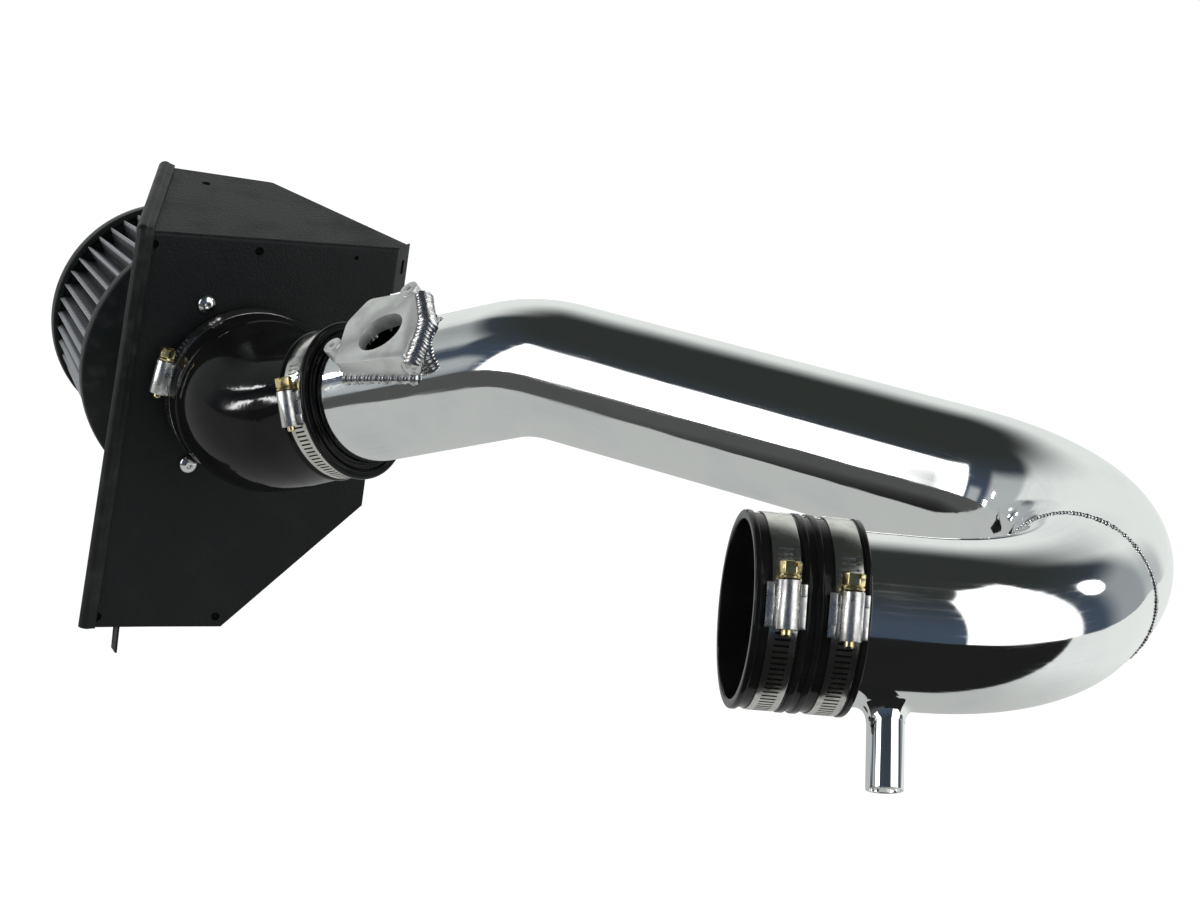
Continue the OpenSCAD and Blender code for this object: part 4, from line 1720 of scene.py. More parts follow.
    def build(self) -> None:
        """Makes and dresses the clamp's three pieces."""
        dress(self.band(), BandSteel(), self.name + "_band")
        dress(self.housing(), PressedSteel(), self.name + "_housing")
        dress(self.screw(), YellowZinc(), self.name + "_screw")


@dataclass
class RubberElbow:
    """The glossy reducing elbow between the tube and the filter adapter, in millimetres."""

    cuff_r: float = 50.95
    lip_r: float = 54.35
    tube_fit: float = 44.5
    bore: float = 42.45
    grip: float = 28.1
    flat_end: float = 20.8
    shoulder: float = 21.0
    cuff: float = 22.0
    cuff_outer: float = 60.45
    rim: float = 61.45
    adapter_fit: float = 57.25
    adapter_bore: float = 54.15
    seat: float = 7.1
    wall: float = 6.4
    swell: float = 2.0
    rim_step: float = 1.0
    steps: int = 26
    sides: int = 144

    def ring(self, turn: float, run: float, radius: float) -> list[Vector]:
        """The points of a ring at an angle of the bend in degrees, or a straight run beyond that."""
        place = ROUTE.elbow_bend.bent(ROUTE.elbow_r, turn, 0).forward(run * MM)
        return [place.at(x, y, 0) for x, y in circle(radius * MM, self.sides)]

    def body(self, step: int, inward: float) -> list[Vector]:
        """A ring of the widening body.

        Args:
            step: The ring's number.
            inward: How far it lies inside the outer skin.

        Returns:
            The ring's points.
        """
        t = step / self.steps
        grow = self.rim - self.rim_step - self.cuff_r - self.swell
        radius = self.cuff_r + self.swell + grow * t * t * (3 - 2 * t)
        return self.ring(ROUTE.elbow_turn * t, 0, radius - inward)

    def nose(self) -> list[Point2]:
        """The small end's outline, from its bore round the grooved face to the body.

        Returns:
            Each point's radius and height.
        """
        r, lip, end = self.cuff_r, self.lip_r, self.flat_end
        points = [(self.tube_fit, 0.4), (47.2, 0.0), (47.6, 2.4), (48.8, 2.4), (49.2, 0.2), (lip, 0.2),
                  (lip, 4.0), (r, 4.6), (r, end), (r + 1.6, end + 2.6)]
        radii = [0.5, 1.2, 0.8, 0.8, 2.2, 2.6, 1.6, 0.6, 1.2, 2.0, 0]
        return outline(points + [(self.tube_fit, 60)], radii, 4)[:-1]

    def far_cuff(self) -> list[Point2]:
        """The large end's outline, from the rim over the cuff to the bore.

        Returns:
            Each point's radius and height.
        """
        start, rim, cuff, fit = self.shoulder, self.rim, self.cuff_outer, self.adapter_fit
        end, seat = start + self.cuff, start - self.seat
        points = [
            (rim - 0.6, 6.0), (rim, start - 4), (rim, start), (cuff, start + 0.3), (cuff, end), (fit, end),
            (fit, seat), (self.adapter_bore, seat)]
        return outline(points + [(40, 0)], [2, 2.5, 0.8, 0.2, 1.0, 0.8, 0.2, 0.6, 0], 4)[:-1]

    def skin(self) -> Piece:
        """The elbow's closed skin, outside first and back through the inside.

        Returns:
            The piece.
        """
        small = ROUTE.small_len / MM
        stop = self.grip - small
        rings = [self.ring(0, z - small, r) for r, z in self.nose()]
        rings += [self.body(step, 0) for step in range(self.steps + 1)]
        rings += [self.ring(ROUTE.elbow_turn, z, r) for r, z in self.far_cuff()]
        rings += [self.body(step, self.wall) for step in range(self.steps, -1, -1)]
        rings += [self.ring(0, self.grip + 2 - small, self.bore), self.ring(0, stop, self.bore)]
        rings += [self.ring(0, stop, self.tube_fit)]
        return rings_piece("elbow_rubber", rings, 50)

    def build(self) -> None:
        """Makes and dresses the elbow."""
        dress(self.skin(), GlossRubber(), "rubber_elbow")


@dataclass
class HeatShield:
    """The folded sheet, its edge trim, the adapter in it and the screws that hold that, in millimetres."""

    sheet_t: float = 1.5
    left: float = -85.0
    low_left: float = -97.0
    right: float = 104.0
    fold_y: float = 106.5
    bottom: float = -185.5
    corner: Point2 = (5.0, -88.5)
    fold_r: float = 2.0
    fold_pace: int = 5
    top_fold: float = 80.0
    top_points: list[Point2] = field(default_factory=lambda: [(44, 120), (-36, 136), (-85, 0)])
    top_corner: float = 8.0
    pit: float = 1.2
    tab_w: float = 21.0
    tab_h: float = 31.0
    tab_turn: float = 45.0
    slot_at: Point2 = (10.0, 12.0)
    slot_half: Point2 = (2.2, 5.5)
    foot_in: float = 8.0
    foot_w: float = 18.0
    foot_l: float = 21.0
    foot_d: float = 12.0
    holes: list[tuple[float, float, float]] = field(default_factory=lambda: [
        (-77, 100.5, 3.2), (0, 100.5, 3.2), (-89, -177.5, 3.2), (0, -177.5, 3.2), (74, 100.5, 1.6)])
    top_hole: tuple[float, float, float] = (-12.0, 106.0, 3.2)
    edge: float = 0.3
    hub_r: float = 57.25
    over: float = 5.0
    screw_circle: float = 69.0
    screw_r: float = 3.9
    screw_len: float = 14.0
    screw_head: float = 6.8
    screw_rise: float = 4.4
    screw_count: int = 3
    socket_r: float = 2.6
    socket_depth: float = 2.2
    flange_r: float = 78.0
    flange_t: float = 4.0
    fit: float = 0.1
    adapter_r: float = 57.15
    adapter_wall: float = 3.0
    adapter_front: float = 33.0
    adapter_back: float = 61.0
    trim_r: float = 5.0
    trim_gap: float = 0.85

    @property
    def bend(self) -> float:
        """The outer radius of a fold."""
        return self.fold_r + self.sheet_t

    def spot(self, x: float, y: float, z: float = 0.0) -> Vector:
        """A point of the panel's frame, given in millimetres."""
        return ROUTE.panel.at(x * MM, y * MM, z * MM)

    def fold_spot(self, x: float, angle: float, ahead: float = 0.0, depth: float = 0.0) -> Vector:
        """A point on the top fold or on the flat that follows.

        Args:
            x: Its place along the fold.
            angle: Its angle round the fold, in degrees.
            ahead: How far past the fold it lies.
            depth: How far below the sheet's front it lies.

        Returns:
            The point.
        """
        a, r = math.radians(angle), self.bend - depth
        y = self.fold_y + r * math.sin(a) + ahead * math.cos(a)
        return self.spot(x, y, -self.bend + r * math.cos(a) - ahead * math.sin(a))

    def fold_frame(self, angle: float) -> Place:
        """The frame of the flat after the fold: X right, Y away from the fold, Z out of the sheet's front.

        Args:
            angle: The fold's angle in degrees.

        Returns:
            The frame.
        """
        centre = self.spot(0, self.fold_y, -self.bend)
        turn = ROUTE.panel.matrix.to_3x3().to_4x4() @ Matrix.Rotation(-math.radians(angle), 4, "X")
        return Place(Matrix.Translation(centre) @ turn @ Matrix.Translation((0, 0, self.bend * MM)))

    def tab_spot(self, angle: float, ahead: float, y: float) -> Vector:
        """A point on the side tab's fold, or ahead of it on the tab.

        Args:
            angle: Its angle round the fold, in degrees.
            ahead: How far past the fold it lies.
            y: Its place along the fold.

        Returns:
            The point.
        """
        a, bend = math.radians(angle), self.bend
        x = self.right + bend * math.sin(a) + ahead * math.cos(a)
        return self.spot(x, y, -bend + bend * math.cos(a) - ahead * math.sin(a))

    def mitre(self, angle: float, ahead: float = 0.0) -> Vector:
        """A point of the corner line that the top fold shares with the side tab.

        Args:
            angle: Its angle round the top fold, in degrees.
            ahead: How far past the fold it lies.

        Returns:
            The point.
        """
        a, t, bend = math.radians(angle), math.radians(self.tab_turn), self.bend
        back = bend * math.cos(a) - bend - ahead * math.sin(a)
        side = bend * math.sin(a)
        if angle > self.tab_turn:
            side = bend * math.sin(t) + (bend * math.cos(t) - bend - back) / math.tan(t)
        return self.spot(self.right + side, self.fold_y + bend * math.sin(a) + ahead * math.cos(a), back)

    def sheet_faces(self) -> list[list[Vector]]:
        """The corners of each flat and each strip of a fold, on the sheet's front.

        Returns:
            A list of points for each face.
        """
        low_end, top, pace = self.fold_y - self.tab_h, self.top_fold, self.fold_pace
        corner, turn = self.mitre(top, self.top_corner), self.tab_turn
        level = (ROUTE.panel.matrix.inverted() @ corner).y / MM
        panel = [
            (self.low_left, self.bottom), (self.corner[0], self.bottom), (self.right, self.corner[1]),
            (self.right, low_end), (self.right, self.fold_y), (self.left, self.fold_y)]
        faces = [[self.spot(*point) for point in panel]]
        for low in range(0, int(top), pace):
            high = low + pace
            ends = [self.mitre(low), self.mitre(high)]
            faces.append([self.fold_spot(self.left, low), *ends, self.fold_spot(self.left, high)])
        faces.append([self.mitre(top), corner] + [self.fold_spot(x, top, y) for x, y in self.top_points])
        for low in range(0, int(turn), pace):
            high = low + pace
            ends = [self.mitre(high), self.mitre(low)]
            faces.append([self.tab_spot(low, 0, low_end), self.tab_spot(high, 0, low_end), *ends])
        end = self.tab_w - self.fold_r
        tab = [self.tab_spot(turn, 0, low_end), self.tab_spot(turn, end, low_end)]
        tab += [self.tab_spot(turn, end, level), corner]
        tab += [self.mitre(angle) for angle in range(int(top), int(turn) - 1, -pace)]
        return faces + [tab]

    def pits(self) -> list[tuple[Place, float, float, float]]:
        """Each blind round hole's frame, place in it and radius."""
        top = self.fold_frame(self.top_fold)
        return [(ROUTE.panel, x, y, r) for x, y, r in self.holes] + [(top, *self.top_hole)]

    def slot_place(self) -> Place:
        """The frame of the slot in the side tab.

        Returns:
            The frame.
        """
        ahead, below = self.slot_at
        shift = Matrix.Translation(self.tab_spot(self.tab_turn, ahead, self.fold_y - below))
        turn = Matrix.Rotation(math.radians(self.tab_turn), 4, "Y")
        return Place(shift @ ROUTE.panel.matrix.to_3x3().to_4x4() @ turn)

    def cutters(self) -> list[Piece]:
        """The pieces that cut the holes and the slot.

        Returns:
            The pieces.
        """
        depth, over, (wide, tall) = -self.pit * MM, self.over * MM, self.slot_half
        cuts = []
        for at, x, y, r in self.pits():
            cuts.append(prism("pit", at, circle(r * MM, 24, (x * MM, y * MM)), depth, over))
        cuts.append(prism("hub_hole", ROUTE.panel, circle(self.hub_r * MM, 96), -over, over))
        box = rectangle((-wide * MM, -tall * MM), (wide * MM, tall * MM))
        cuts.append(prism("slot", self.slot_place(), outline(box, [wide * MM] * 4, 5), depth, 4 * MM))
        return cuts

    def foot(self) -> list[Piece]:
        """The shelf and the drop of the small foot.

        Returns:
            Both pieces.
        """
        t, bottom = self.sheet_t, self.bottom
        left = self.low_left + self.foot_in
        right, back = left + self.foot_w, -(t + self.foot_d) * MM
        shelf = rectangle((left, bottom), (right, bottom + t))
        drop = rectangle((right - t, bottom - self.foot_l), (right, bottom + t))
        return [
            prism("shelf", ROUTE.panel, scaled(shelf), back, 0),
            prism("drop", ROUTE.panel, scaled(drop), back, -t * MM)]

    def sheet(self) -> Piece:
        """The folded sheet with its tab, foot and holes.

        Returns:
            The piece.
        """
        verts: list[Vector] = []
        faces: list[list[int]] = []
        for spots in self.sheet_faces():
            faces.append(list(range(len(verts), len(verts) + len(spots))))
            verts += spots
        piece = mesh_piece("sheet", verts, faces)
        faced(piece, ROUTE.panel.axis(0, 0, 1))
        thick = piece.modifiers.new("wall", "SOLIDIFY")
        thick.thickness, thick.offset, thick.use_even_offset = self.sheet_t * MM, -1, True
        combined(settled(piece), self.cutters(), Join.CUT)
        combined(piece, self.foot(), Join.ADD)
        piece = shaded(bevelled(piece, self.edge * MM, 40), 4.0)
        # Marks where the finish paints shade in the blind holes and the slot.
        self.mark_painted_hole_shade(piece)
        return piece

    def mark_painted_hole_shade(self, piece: Piece) -> None:
        """Marks the bottoms of the blind holes and the slot, where the finish paints shade.

        Args:
            piece: The sheet.
        """
        pits = self.pits() + [(self.slot_place(), 0.0, 0.0, self.slot_half[1])]
        frames = [(place.matrix.inverted(), x, y, r) for place, x, y, r in pits]
        near, lap = 0.1, 0.2
        marks = []
        for vertex in piece.data.vertices:
            mark = 0.0
            for back, x, y, r in frames:
                at = back @ vertex.co / MM
                if abs(at.z + self.pit) < near and math.hypot(at.x - x, at.y - y) < r + lap:
                    mark = 1.0
            marks.append(mark)
        piece.data.attributes.new("pit", "FLOAT", "POINT").data.foreach_set("value", marks)

    def trim_section(self) -> list[Point2]:
        """The trim's section: a round back and two lips over the sheet, with the sheet along X.

        Returns:
            Its points.
        """
        gap, arc = self.trim_gap, (math.radians(60 + 240 * k / 20) for k in range(21))
        back = [(self.trim_r * math.cos(a), self.trim_r * math.sin(a)) for a in arc]
        section = [(7.0, 3.2), (2.6, 4.1)] + back + [(2.6, -4.1), (7.0, -3.2)]
        section += [(7.0, -gap), (0.4, -gap), (0.4, gap), (7.0, gap)]
        return outline(section, [1.2, 1.0] + [0] * 21 + [1.0, 1.2, 0.2, 0, 0, 0.2], 3)

    def trim_ring(self, spot: Vector, fold: float, lean: float) -> list[Vector]:
        """The trim's section at one place of the sheet's edge.

        Args:
            spot: The middle of the sheet's edge.
            fold: How far the sheet is folded there, in degrees.
            lean: The edge's slant in the sheet, in radians.

        Returns:
            The ring's points.
        """
        turn = ROUTE.panel.matrix.to_quaternion().to_matrix().to_4x4()
        turn = turn @ Matrix.Rotation(-math.radians(fold), 4, "X") @ Matrix.Rotation(-lean, 4, "Z")
        turn = turn @ Matrix.Rotation(-math.pi / 2, 4, "X")
        return [spot + (turn @ Vector((x * MM, y * MM, 0))) for x, y in self.trim_section()]

    def trim(self) -> Piece:
        """The edge trim, swept up the panel's left edge, round the fold and along the top.

        Returns:
            The piece.
        """
        top_x, top_y = self.top_points[1]
        shift, height, middle = self.left - self.low_left, self.fold_y - self.bottom, self.sheet_t / 2
        rise, slant = math.atan2(shift, height), math.atan2(top_x - self.left, top_y)
        rings = []
        for t in (0.0, 0.25, 0.5, 0.75, 0.9):
            spot = self.spot(self.low_left + shift * t, self.bottom + height * t, -middle)
            rings.append(self.trim_ring(spot, 0, rise))
        for k in range(9):
            angle, lean = self.top_fold * k / 8, rise + (slant - rise) * k / 8
            rings.append(self.trim_ring(self.fold_spot(self.left, angle, 0, middle), angle, lean))
        for t in (0.12, 0.3, 0.6, 1.0):
            spot = self.fold_spot(self.left + (top_x - self.left) * t, self.top_fold, top_y * t, middle)
            rings.append(self.trim_ring(spot, self.top_fold, slant))
        return rings_piece("trim_rubber", rings, 50, looped=False)

    def screws(self) -> Piece:
        """The button-head screws round the adapter.

        Returns:
            The piece.
        """
        rise, head, foot = self.screw_rise, self.screw_head, 0.5
        turns = [math.pi / 2 * k / 12 for k in range(12)]
        section = [(self.screw_r, -self.screw_len), (self.screw_r, 0.0), (head - 0.4, 0.1), (head, 0.4)]
        section += [(head * math.cos(a), foot + (rise - foot) * math.sin(a)) for a in turns] + [(0.4, rise)]
        out = self.screw_circle * MM
        stand = Place(Matrix.Translation((out, 0, self.fit * MM)))
        screw = lathe("button", stand, scaled(section), 48, looped=False)
        socket = circle(self.socket_r * MM, 6)
        low = (rise - self.socket_depth) * MM
        hollow = prism("socket", Place(Matrix.Translation((out, 0, 0))), socket, low, 9 * MM)
        mesh = taken(bevelled(combined(screw, [hollow], Join.CUT), 0.2 * MM, 50))
        copies = ring_copies(ScrewSteel().material())
        piece = copies.grow("button_screws", mesh, {"Count": self.screw_count, "Weld": 0.0})
        piece.data.transform(ROUTE.panel.matrix)
        return piece

    def adapter(self) -> Piece:
        """The adapter's tube with its flange behind the sheet.

        Returns:
            The piece.
        """
        r, inner, wide = self.adapter_r, self.adapter_r - self.adapter_wall, self.flange_r
        front, back, face = self.adapter_front, -self.adapter_back, -self.sheet_t - self.fit
        rear = face - self.flange_t
        points = [(inner, front), (r, front), (r, face), (wide, face)]
        points += [(wide, rear), (r, rear), (r, back), (inner, back)]
        section = outline(points, [0.6, 0.6, 0.0, 0.6, 0.6, 1.0, 0.6, 0.6], 3)
        return lathe("adapter_tube", ROUTE.panel, scaled(section), 128)

    def build(self) -> None:
        """Makes and dresses the shield's pieces."""
        dress(self.sheet(), PowderCoat(), "heat_shield")
        dress(self.trim(), TrimRubber(), "edge_trim")
        dress(self.screws(), ScrewSteel(), "shield_screws")
        dress(self.adapter(), GlossCoat(), "filter_adapter")


@dataclass
class ConeFilter:
    """The cone filter behind the shield, in millimetres."""

    base_r: float = 106.0
    base_t: float = 22.0
    base_back: float = 39.0
    slope: Point2 = (33.0, 11.0)
    neck_r: float = 61.25
    neck_front: float = 15.2
    bore: float = 57.3
    cap_r: float = 92.0
    cap_t: float = 10.0
    cap_dish: float = 5.0
    pleat_len: float = 146.0
    pleat_depth: float = 12.0
    pleat_wall: float = 1.0
    pleats: int = 48
    inset: float = 3.0
    gap: float = 0.3
    pinch: float = 0.05
    crest_power: float = 1.25
    across: int = 16
    along: int = 14
    sides: int = 144

    def base(self) -> Piece:
        """The rubber base with its rim and neck.

        Returns:
            The piece.
        """
        front, back, neck, wide = -self.base_back, -self.base_back - self.base_t, self.neck_r, self.base_r
        slope_in, slope_back = self.slope
        points = [
            (self.bore, -self.neck_front), (neck, -self.neck_front), (neck, front + 4), (neck + 8, front),
            (wide - slope_in, front), (wide - 1.4, front - slope_back), (wide, front - slope_back - 1.2),
            (wide, back), (self.bore, back)]
        section = outline(points, [1.0, 1.0, 6.0, 3.0, 4.0, 0.8, 1.0, 3.0, 0.0], 5)
        return lathe("filter_foot", ROUTE.panel, scaled(section), self.sides)

    def cap(self) -> Piece:
        """The far cap: a thin rim over the pleats' ends and a dished face.

        Returns:
            The piece.
        """
        front, r = -(self.base_back + self.base_t + self.pleat_len), self.cap_r
        back = front - self.cap_t
        dish = back + self.cap_dish
        points = [
            (0.5, dish), (r - 12, dish), (r - 10, back), (r, back), (r, front + 1.2), (r - 5, front + 1.2),
            (r - 6, front - 0.2), (0.5, front - 0.2)]
        section = outline(points, [0, 2, 2, 3, 1.2, 1.2, 0, 0], 4)
        return lathe("filter_far_cap", ROUTE.panel, scaled(section), self.sides, looped=False)

    def pleat_mesh(self) -> bpy.types.Mesh:
        """One pleat from valley to valley, with a UV map and its crest height.

        Returns:
            Its mesh.
        """
        row, start = self.across + 1, self.gap - (self.base_back + self.base_t)
        half = math.pi / self.pleats
        mesh = bpy.data.meshes.new("pleat")
        verts, faces, uvs, crest = [], [], [], []
        for j in range(self.along + 1):
            t = j / self.along
            outer = self.base_r - self.inset + (self.cap_r - self.base_r) * t
            z = start - self.pleat_len * t
            for i in range(row):
                s = 2 * i / self.across - 1
                lift = (0.5 + 0.5 * math.cos(math.pi * s)) ** self.crest_power
                radius = outer - self.pleat_depth * (1 - lift)
                angle = half * (s - self.pinch * math.sin(TAU * s))
                verts.append(Vector((radius * math.cos(angle), radius * math.sin(angle), z)) * MM)
                uvs.append((i / self.across * 20 * MM, t * self.pleat_len * MM))
                crest.append(lift)
        for j in range(self.along):
            faces += [(a, a + row, a + row + 1, a + 1) for a in range(j * row, j * row + self.across)]
        mesh.from_pydata(verts, [], faces)
        layer = mesh.uv_layers.new(name="UVMap")
        for loop in mesh.loops:
            layer.data[loop.index].uv = uvs[loop.vertex_index]
        mesh.attributes.new("crest", "FLOAT", "POINT").data.foreach_set("value", crest)
        return mesh

    def turned_out(self, piece: Piece) -> None:
        """Points the open folded wall's faces away from the filter's axis.

        Args:
            piece: The wall.
        """
        work = bmesh.new()
        work.from_mesh(piece.data)
        bmesh.ops.recalc_face_normals(work, faces=work.faces)
        work.faces.ensure_lookup_table()
        face, back = work.faces[0], ROUTE.panel.matrix.inverted()
        centre, normal = back @ face.calc_center_median(), back.to_3x3() @ face.normal
        if normal.x * centre.x + normal.y * centre.y < 0:
            bmesh.ops.reverse_faces(work, faces=work.faces)
        work.to_mesh(piece.data)
        work.free()

    def media(self) -> Piece:
        """All the pleats, welded into one folded wall with a thickness.

        Returns:
            The piece.
        """
        copies = ring_copies(PleatMedia().material())
        sizes = {"Count": self.pleats, "Weld": 0.02 * MM}
        piece = copies.grow("pleated_media", self.pleat_mesh(), sizes, SMOOTH)
        piece.data.transform(ROUTE.panel.matrix)
        self.turned_out(piece)
        wall = piece.modifiers.new("wall", "SOLIDIFY")
        wall.thickness, wall.offset = self.pleat_wall * MM, -1
        return settled(piece, SMOOTH)

    def build(self) -> None:
        """Makes and dresses the filter's pieces."""
        dress(self.base(), SatinRubber(), "filter_base")
        dress(self.cap(), SatinRubber(), "filter_cap")
        dress(self.media(), PleatMedia(), "filter_pleats")


# Studio


@dataclass(frozen=True)
class SoftBox:
    """A rectangular area light that faces the object.

    The azimuth is in degrees from +Y toward +X, the elevation in degrees above the horizon, and the
    distance and size in metres. Only glossy surfaces show a mirrored one, and only diffuse ones the
    others. It faces aim, or else the object's centre.
    """

    name: str
    azimuth: float
    elevation: float
    distance: float
    size: Point2
    radiance: float
    mirrored: bool = False
    aim: tuple[float, float, float] | None = None

    def build(self, centre: Vector) -> None:
        """Makes the light, round the object's centre.

        Args:
            centre: The object's centre.
        """
        data = bpy.data.lights.new(self.name, "AREA")
        data.shape, data.size, data.size_y = "RECTANGLE", *self.size
        data.energy = self.radiance * math.pi * self.size[0] * self.size[1]
        made = linked(bpy.data.objects.new(self.name, data))
        a, e = math.radians(self.azimuth), math.radians(self.elevation)
        way = Vector((math.sin(a) * math.cos(e), math.cos(a) * math.cos(e), math.sin(e)))
        made.location = (Vector(self.aim) if self.aim else centre) + way * self.distance
        made.rotation_euler = way.to_track_quat("Z", "Y").to_euler()
        made.visible_camera = False
        made.visible_glossy = self.mirrored
        made.visible_diffuse = not self.mirrored


@dataclass(frozen=True)
class Patch:
    """A soft-edged bright part of the room, in degrees of azimuth and elevation."""

    sides: Point2
    heights: Point2
    soft: Point2
    level: float

    def glow(self, turn: Wire, lift: Wire) -> Wire:
        """Its brightness in a direction.

        Args:
            turn: The direction's azimuth.
            lift: The direction's elevation.

        Returns:
            The level inside the patch, and 0 outside it.
        """
        (left, right), (low, high), (a, b) = self.sides, self.heights, self.soft
        wide = turn.smooth(left - a, left + a) * (1 - turn.smooth(right - a, right + a))
        return wide * lift.smooth(low - b, low + b) * (1 - lift.smooth(high - b, high + b)) * self.level


@dataclass
class Studio:
    """The camera at the photograph's angle, a pale floor, soft boxes and the room."""

    eye: Vector = field(default_factory=lambda: Vector((-0.2206, -1.1274, 0.3704)))
    right: Vector = field(default_factory=lambda: Vector((0.9881, -0.0930, 0.1223)))
    down: Vector = field(default_factory=lambda: Vector((0.0940, -0.2635, -0.9601)))
    ahead: Vector = field(default_factory=lambda: Vector((0.1215, 0.9602, -0.2517)))
    lens: float = 72.0
    sensor: float = 36.0
    centre: Vector = field(default_factory=lambda: Vector((0.05, 0.2, 0.0)))
    floor_r: float = 4.0
    floor_sides: int = 64
    table_slant: float = 0.31
    white: Colour = (1.0, 1.0, 1.0, 1)
    backdrop: Patch = Patch((-36, 56), (-90, 42), (8, 17), 0.80)
    backdrop_end: Patch = Patch((56, 85), (-90, 30), (8, 8), 0.27)
    wing: Patch = Patch((-79, -34), (-90, 33), (4, 7), 0.42)
    wing_end: Patch = Patch((-101, -88), (-90, 12), (3, 4), 0.38)
    right_box: Patch = Patch((103, 154), (-6, 61), (0.8, 0.6), 1.5)
    left_box: Patch = Patch((-130, -105), (-13, 38), (1.5, 2), 2.6)
    lamp: Point2 = (84, 31)
    softboxes: tuple[SoftBox, ...] = (
        SoftBox("key", 121, 28, 1.5, (1.75, 1.75), 1.0),
        SoftBox("left", -117, 20, 1.5, (0.65, 1.35), 1.2),
        SoftBox("glint_high", -82, 20, 0.9, (0.03, 0.15), 40.0, True, (-0.257, 0.460, -0.022)),
        SoftBox("glint_low", -91, 2, 0.9, (0.04, 0.14), 40.0, True, (-0.267, 0.463, -0.039)),
    )

    def camera(self) -> None:
        """Makes the camera."""
        data = bpy.data.cameras.new("camera")
        data.lens, data.sensor_width = self.lens, self.sensor
        made = linked(bpy.data.objects.new("camera", data))
        axes = Matrix((self.right, -self.down, -self.ahead)).transposed().to_4x4()
        made.matrix_world = Matrix.Translation(self.eye) @ axes
        bpy.context.scene.camera = made

    def floor(self) -> None:
        """A pale round floor that keeps the object's shadow."""
        low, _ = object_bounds()
        rim = circle(self.floor_r, self.floor_sides, (self.centre.x, self.centre.y))
        mesh = bpy.data.meshes.new("floor")
        mesh.from_pydata([(x, y, low.z) for x, y in rim], [], [list(range(self.floor_sides))])
        linked(bpy.data.objects.new("floor", mesh))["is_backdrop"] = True
        mesh.materials.append(self.floor_paint())

    def floor_paint(self) -> bpy.types.Material:
        """The floor: near white to the camera, and to polished metal a table with a dark front edge.

        Returns:
            The material.
        """
        made = bpy.data.materials.new("floor")
        made.use_nodes = True
        graph = Graph(made.node_tree)
        where = graph.where()
        x, y = graph.part(where, "X"), graph.part(where, "Y")
        table = (y + self.table_slant * x).smooth(-0.036, -0.022)
        bright, dark = 0.50 + 0.34 * x.smooth(0.2, 0.6), 0.014 + 0.07 * (-1 * x).smooth(0.1, 0.6)
        lit = table * bright + (1 - table) * dark
        glow = graph.node("ShaderNodeEmission", {}, {"Color": self.white, "Strength": 1.12})
        shine = graph.node("ShaderNodeEmission", {}, {"Color": (0.97, 1, 0.97, 1), "Strength": lit})
        plain = graph.node("ShaderNodeBsdfDiffuse", {}, {"Color": (0.85, 0.85, 0.85, 1)})
        seen = graph.blend(graph.ray("Camera") * 0.88, plain, glow)
        both = graph.blend(graph.ray("Glossy"), seen, shine)
        graph.node("ShaderNodeOutputMaterial", {}, {"Surface": both})
        return made

    def room(self) -> None:
        """White to the camera; to polished metal a pale backdrop, a dark ceiling and darker sides."""
        world = bpy.data.worlds.new("room")
        world.use_nodes = True
        bpy.context.scene.world = world
        graph = Graph(world.node_tree)
        way = graph.where("Generated")
        east, north, up = (graph.part(way, letter) for letter in "XYZ")
        turn = graph.node("ShaderNodeMath", {"operation": "ARCTAN2"}, {0: east, 1: north}) * math.degrees(1)
        lift = graph.node("ShaderNodeMath", {"operation": "ARCSINE"}, {0: up}) * math.degrees(1)
        pale = self.backdrop.glow(turn, lift) + self.backdrop_end.glow(turn, lift)
        sides = self.wing.glow(turn, lift) + self.wing_end.glow(turn, lift)
        cut = 1 - (lift + 0.9 * turn).smooth(185.4, 187.4)
        boxes = self.right_box.glow(turn, lift) * cut + self.left_box.glow(turn, lift)
        off, above = turn - self.lamp[0], lift - self.lamp[1]
        lamps = (1 - (off * off + above * above).smooth(36, 60)) * 3.0
        dim = graph.mix(lift.smooth(5, 60), (0.055, 0.075, 0.110, 1), (0.029, 0.033, 0.030, 1))
        colour = graph.mix((pale + sides).clamped(), dim, (0.97, 1.0, 0.96, 1))
        colour = graph.mix(boxes + lamps, colour, self.white, False)
        mirrored, plain, fill = (
            graph.node("ShaderNodeBackground", {}, {"Color": shade, "Strength": strength})
            for shade, strength in ((colour, 1.0), (self.white, 1.0), ((0.95, 0.97, 1, 1), 0.55))
        )
        lit = graph.blend(graph.ray("Glossy"), fill, mirrored)
        graph.node("ShaderNodeOutputWorld", {}, {"Surface": graph.blend(graph.ray("Camera"), lit, plain)})

    def build(self) -> None:
        """Makes the camera, the floor, the lights and the room."""
        self.camera()
        self.floor()
        self.room()
        for softbox in self.softboxes:
            softbox.build(self.centre)
        bpy.context.scene.view_settings.view_transform = "Standard"


# The whole


def paint_nuts() -> None:
    """Gives the nuts, which keep their CAD mesh, the screws' finish."""
    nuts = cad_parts["shield_nuts"]
    nuts.data.materials.clear()
    nuts.data.materials.append(ScrewSteel().material())


def clamps() -> list[WormClamp]:
    """The five clamps at their places.

    Returns:
        The clamps, in order along the tube.
    """
    elbow, panel, mouth = ROUTE.elbow, ROUTE.panel, ROUTE.mouth
    coupler_r, narrow, ahead, back = OutletCoupler.radius, 8.4, Side.FORWARD, Side.BACKWARD
    return [
        WormClamp("mouth", mouth.forward(15.2 * MM).turned("Z", 248), coupler_r, back),
        WormClamp("tube", mouth.forward(46.3 * MM).turned("Z", 251), coupler_r, back),
        WormClamp("inlet", elbow.forward(12.3 * MM).turned("Z", 108), RubberElbow.cuff_r, ahead, narrow),
        WormClamp("adapter", panel.forward(17.5 * MM).turned("Z", 172), RubberElbow.cuff_outer, back, narrow),
        WormClamp("filter", panel.forward(-23.7 * MM).turned("Z", 200), ConeFilter.neck_r, ahead, narrow),
    ]


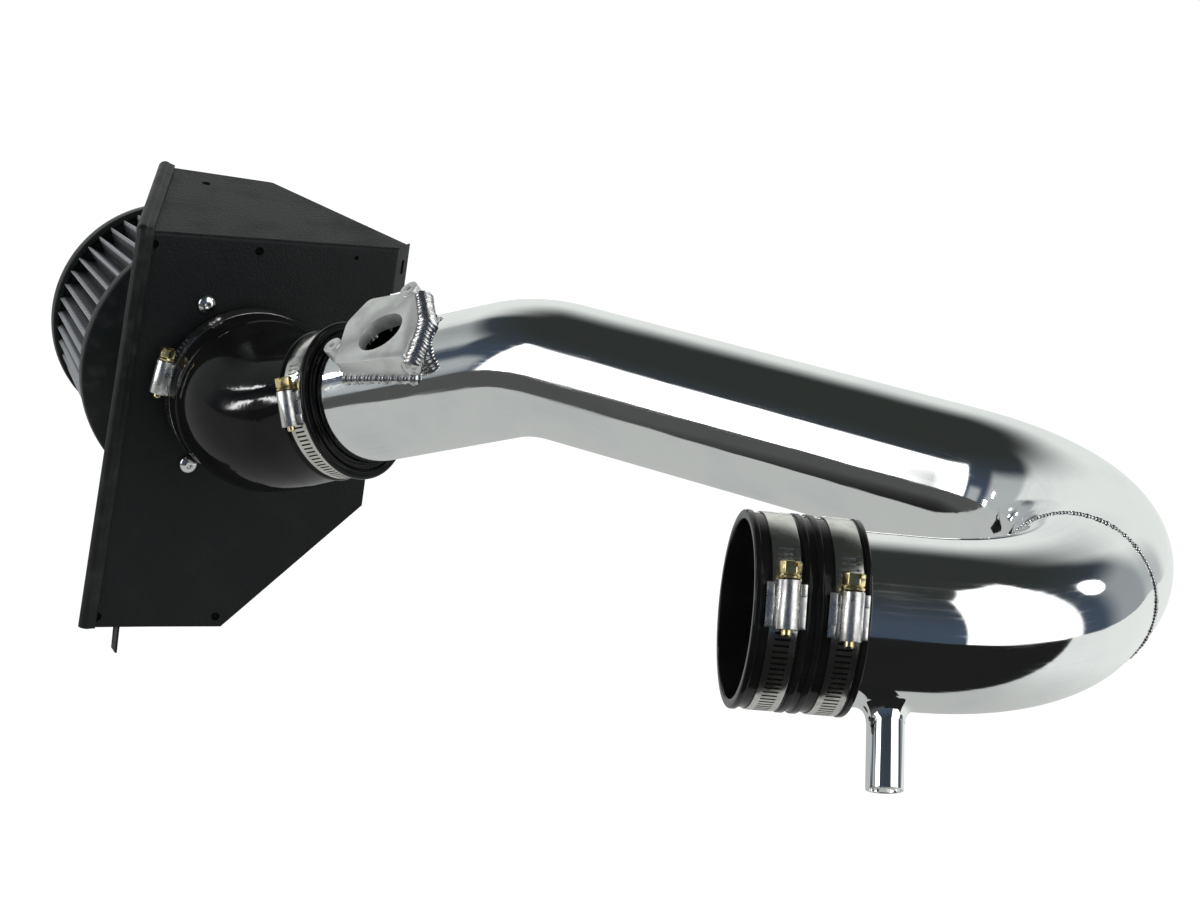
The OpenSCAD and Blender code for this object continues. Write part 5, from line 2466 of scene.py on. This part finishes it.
def main() -> None:
    """Builds the sub-assemblies and the studio."""
    logging.basicConfig(level=logging.INFO, format="%(name)s %(message)s")
    tube = IntakeTube()
    parts = [tube, SensorFlange(tube), OutletCoupler(), *clamps(), RubberElbow(), HeatShield(), ConeFilter()]
    for part in [*parts, Studio()]:
        part.build()
        LOG.info("built %s", type(part).__name__)
    paint_nuts()


if __name__ == "__main__":
    main()
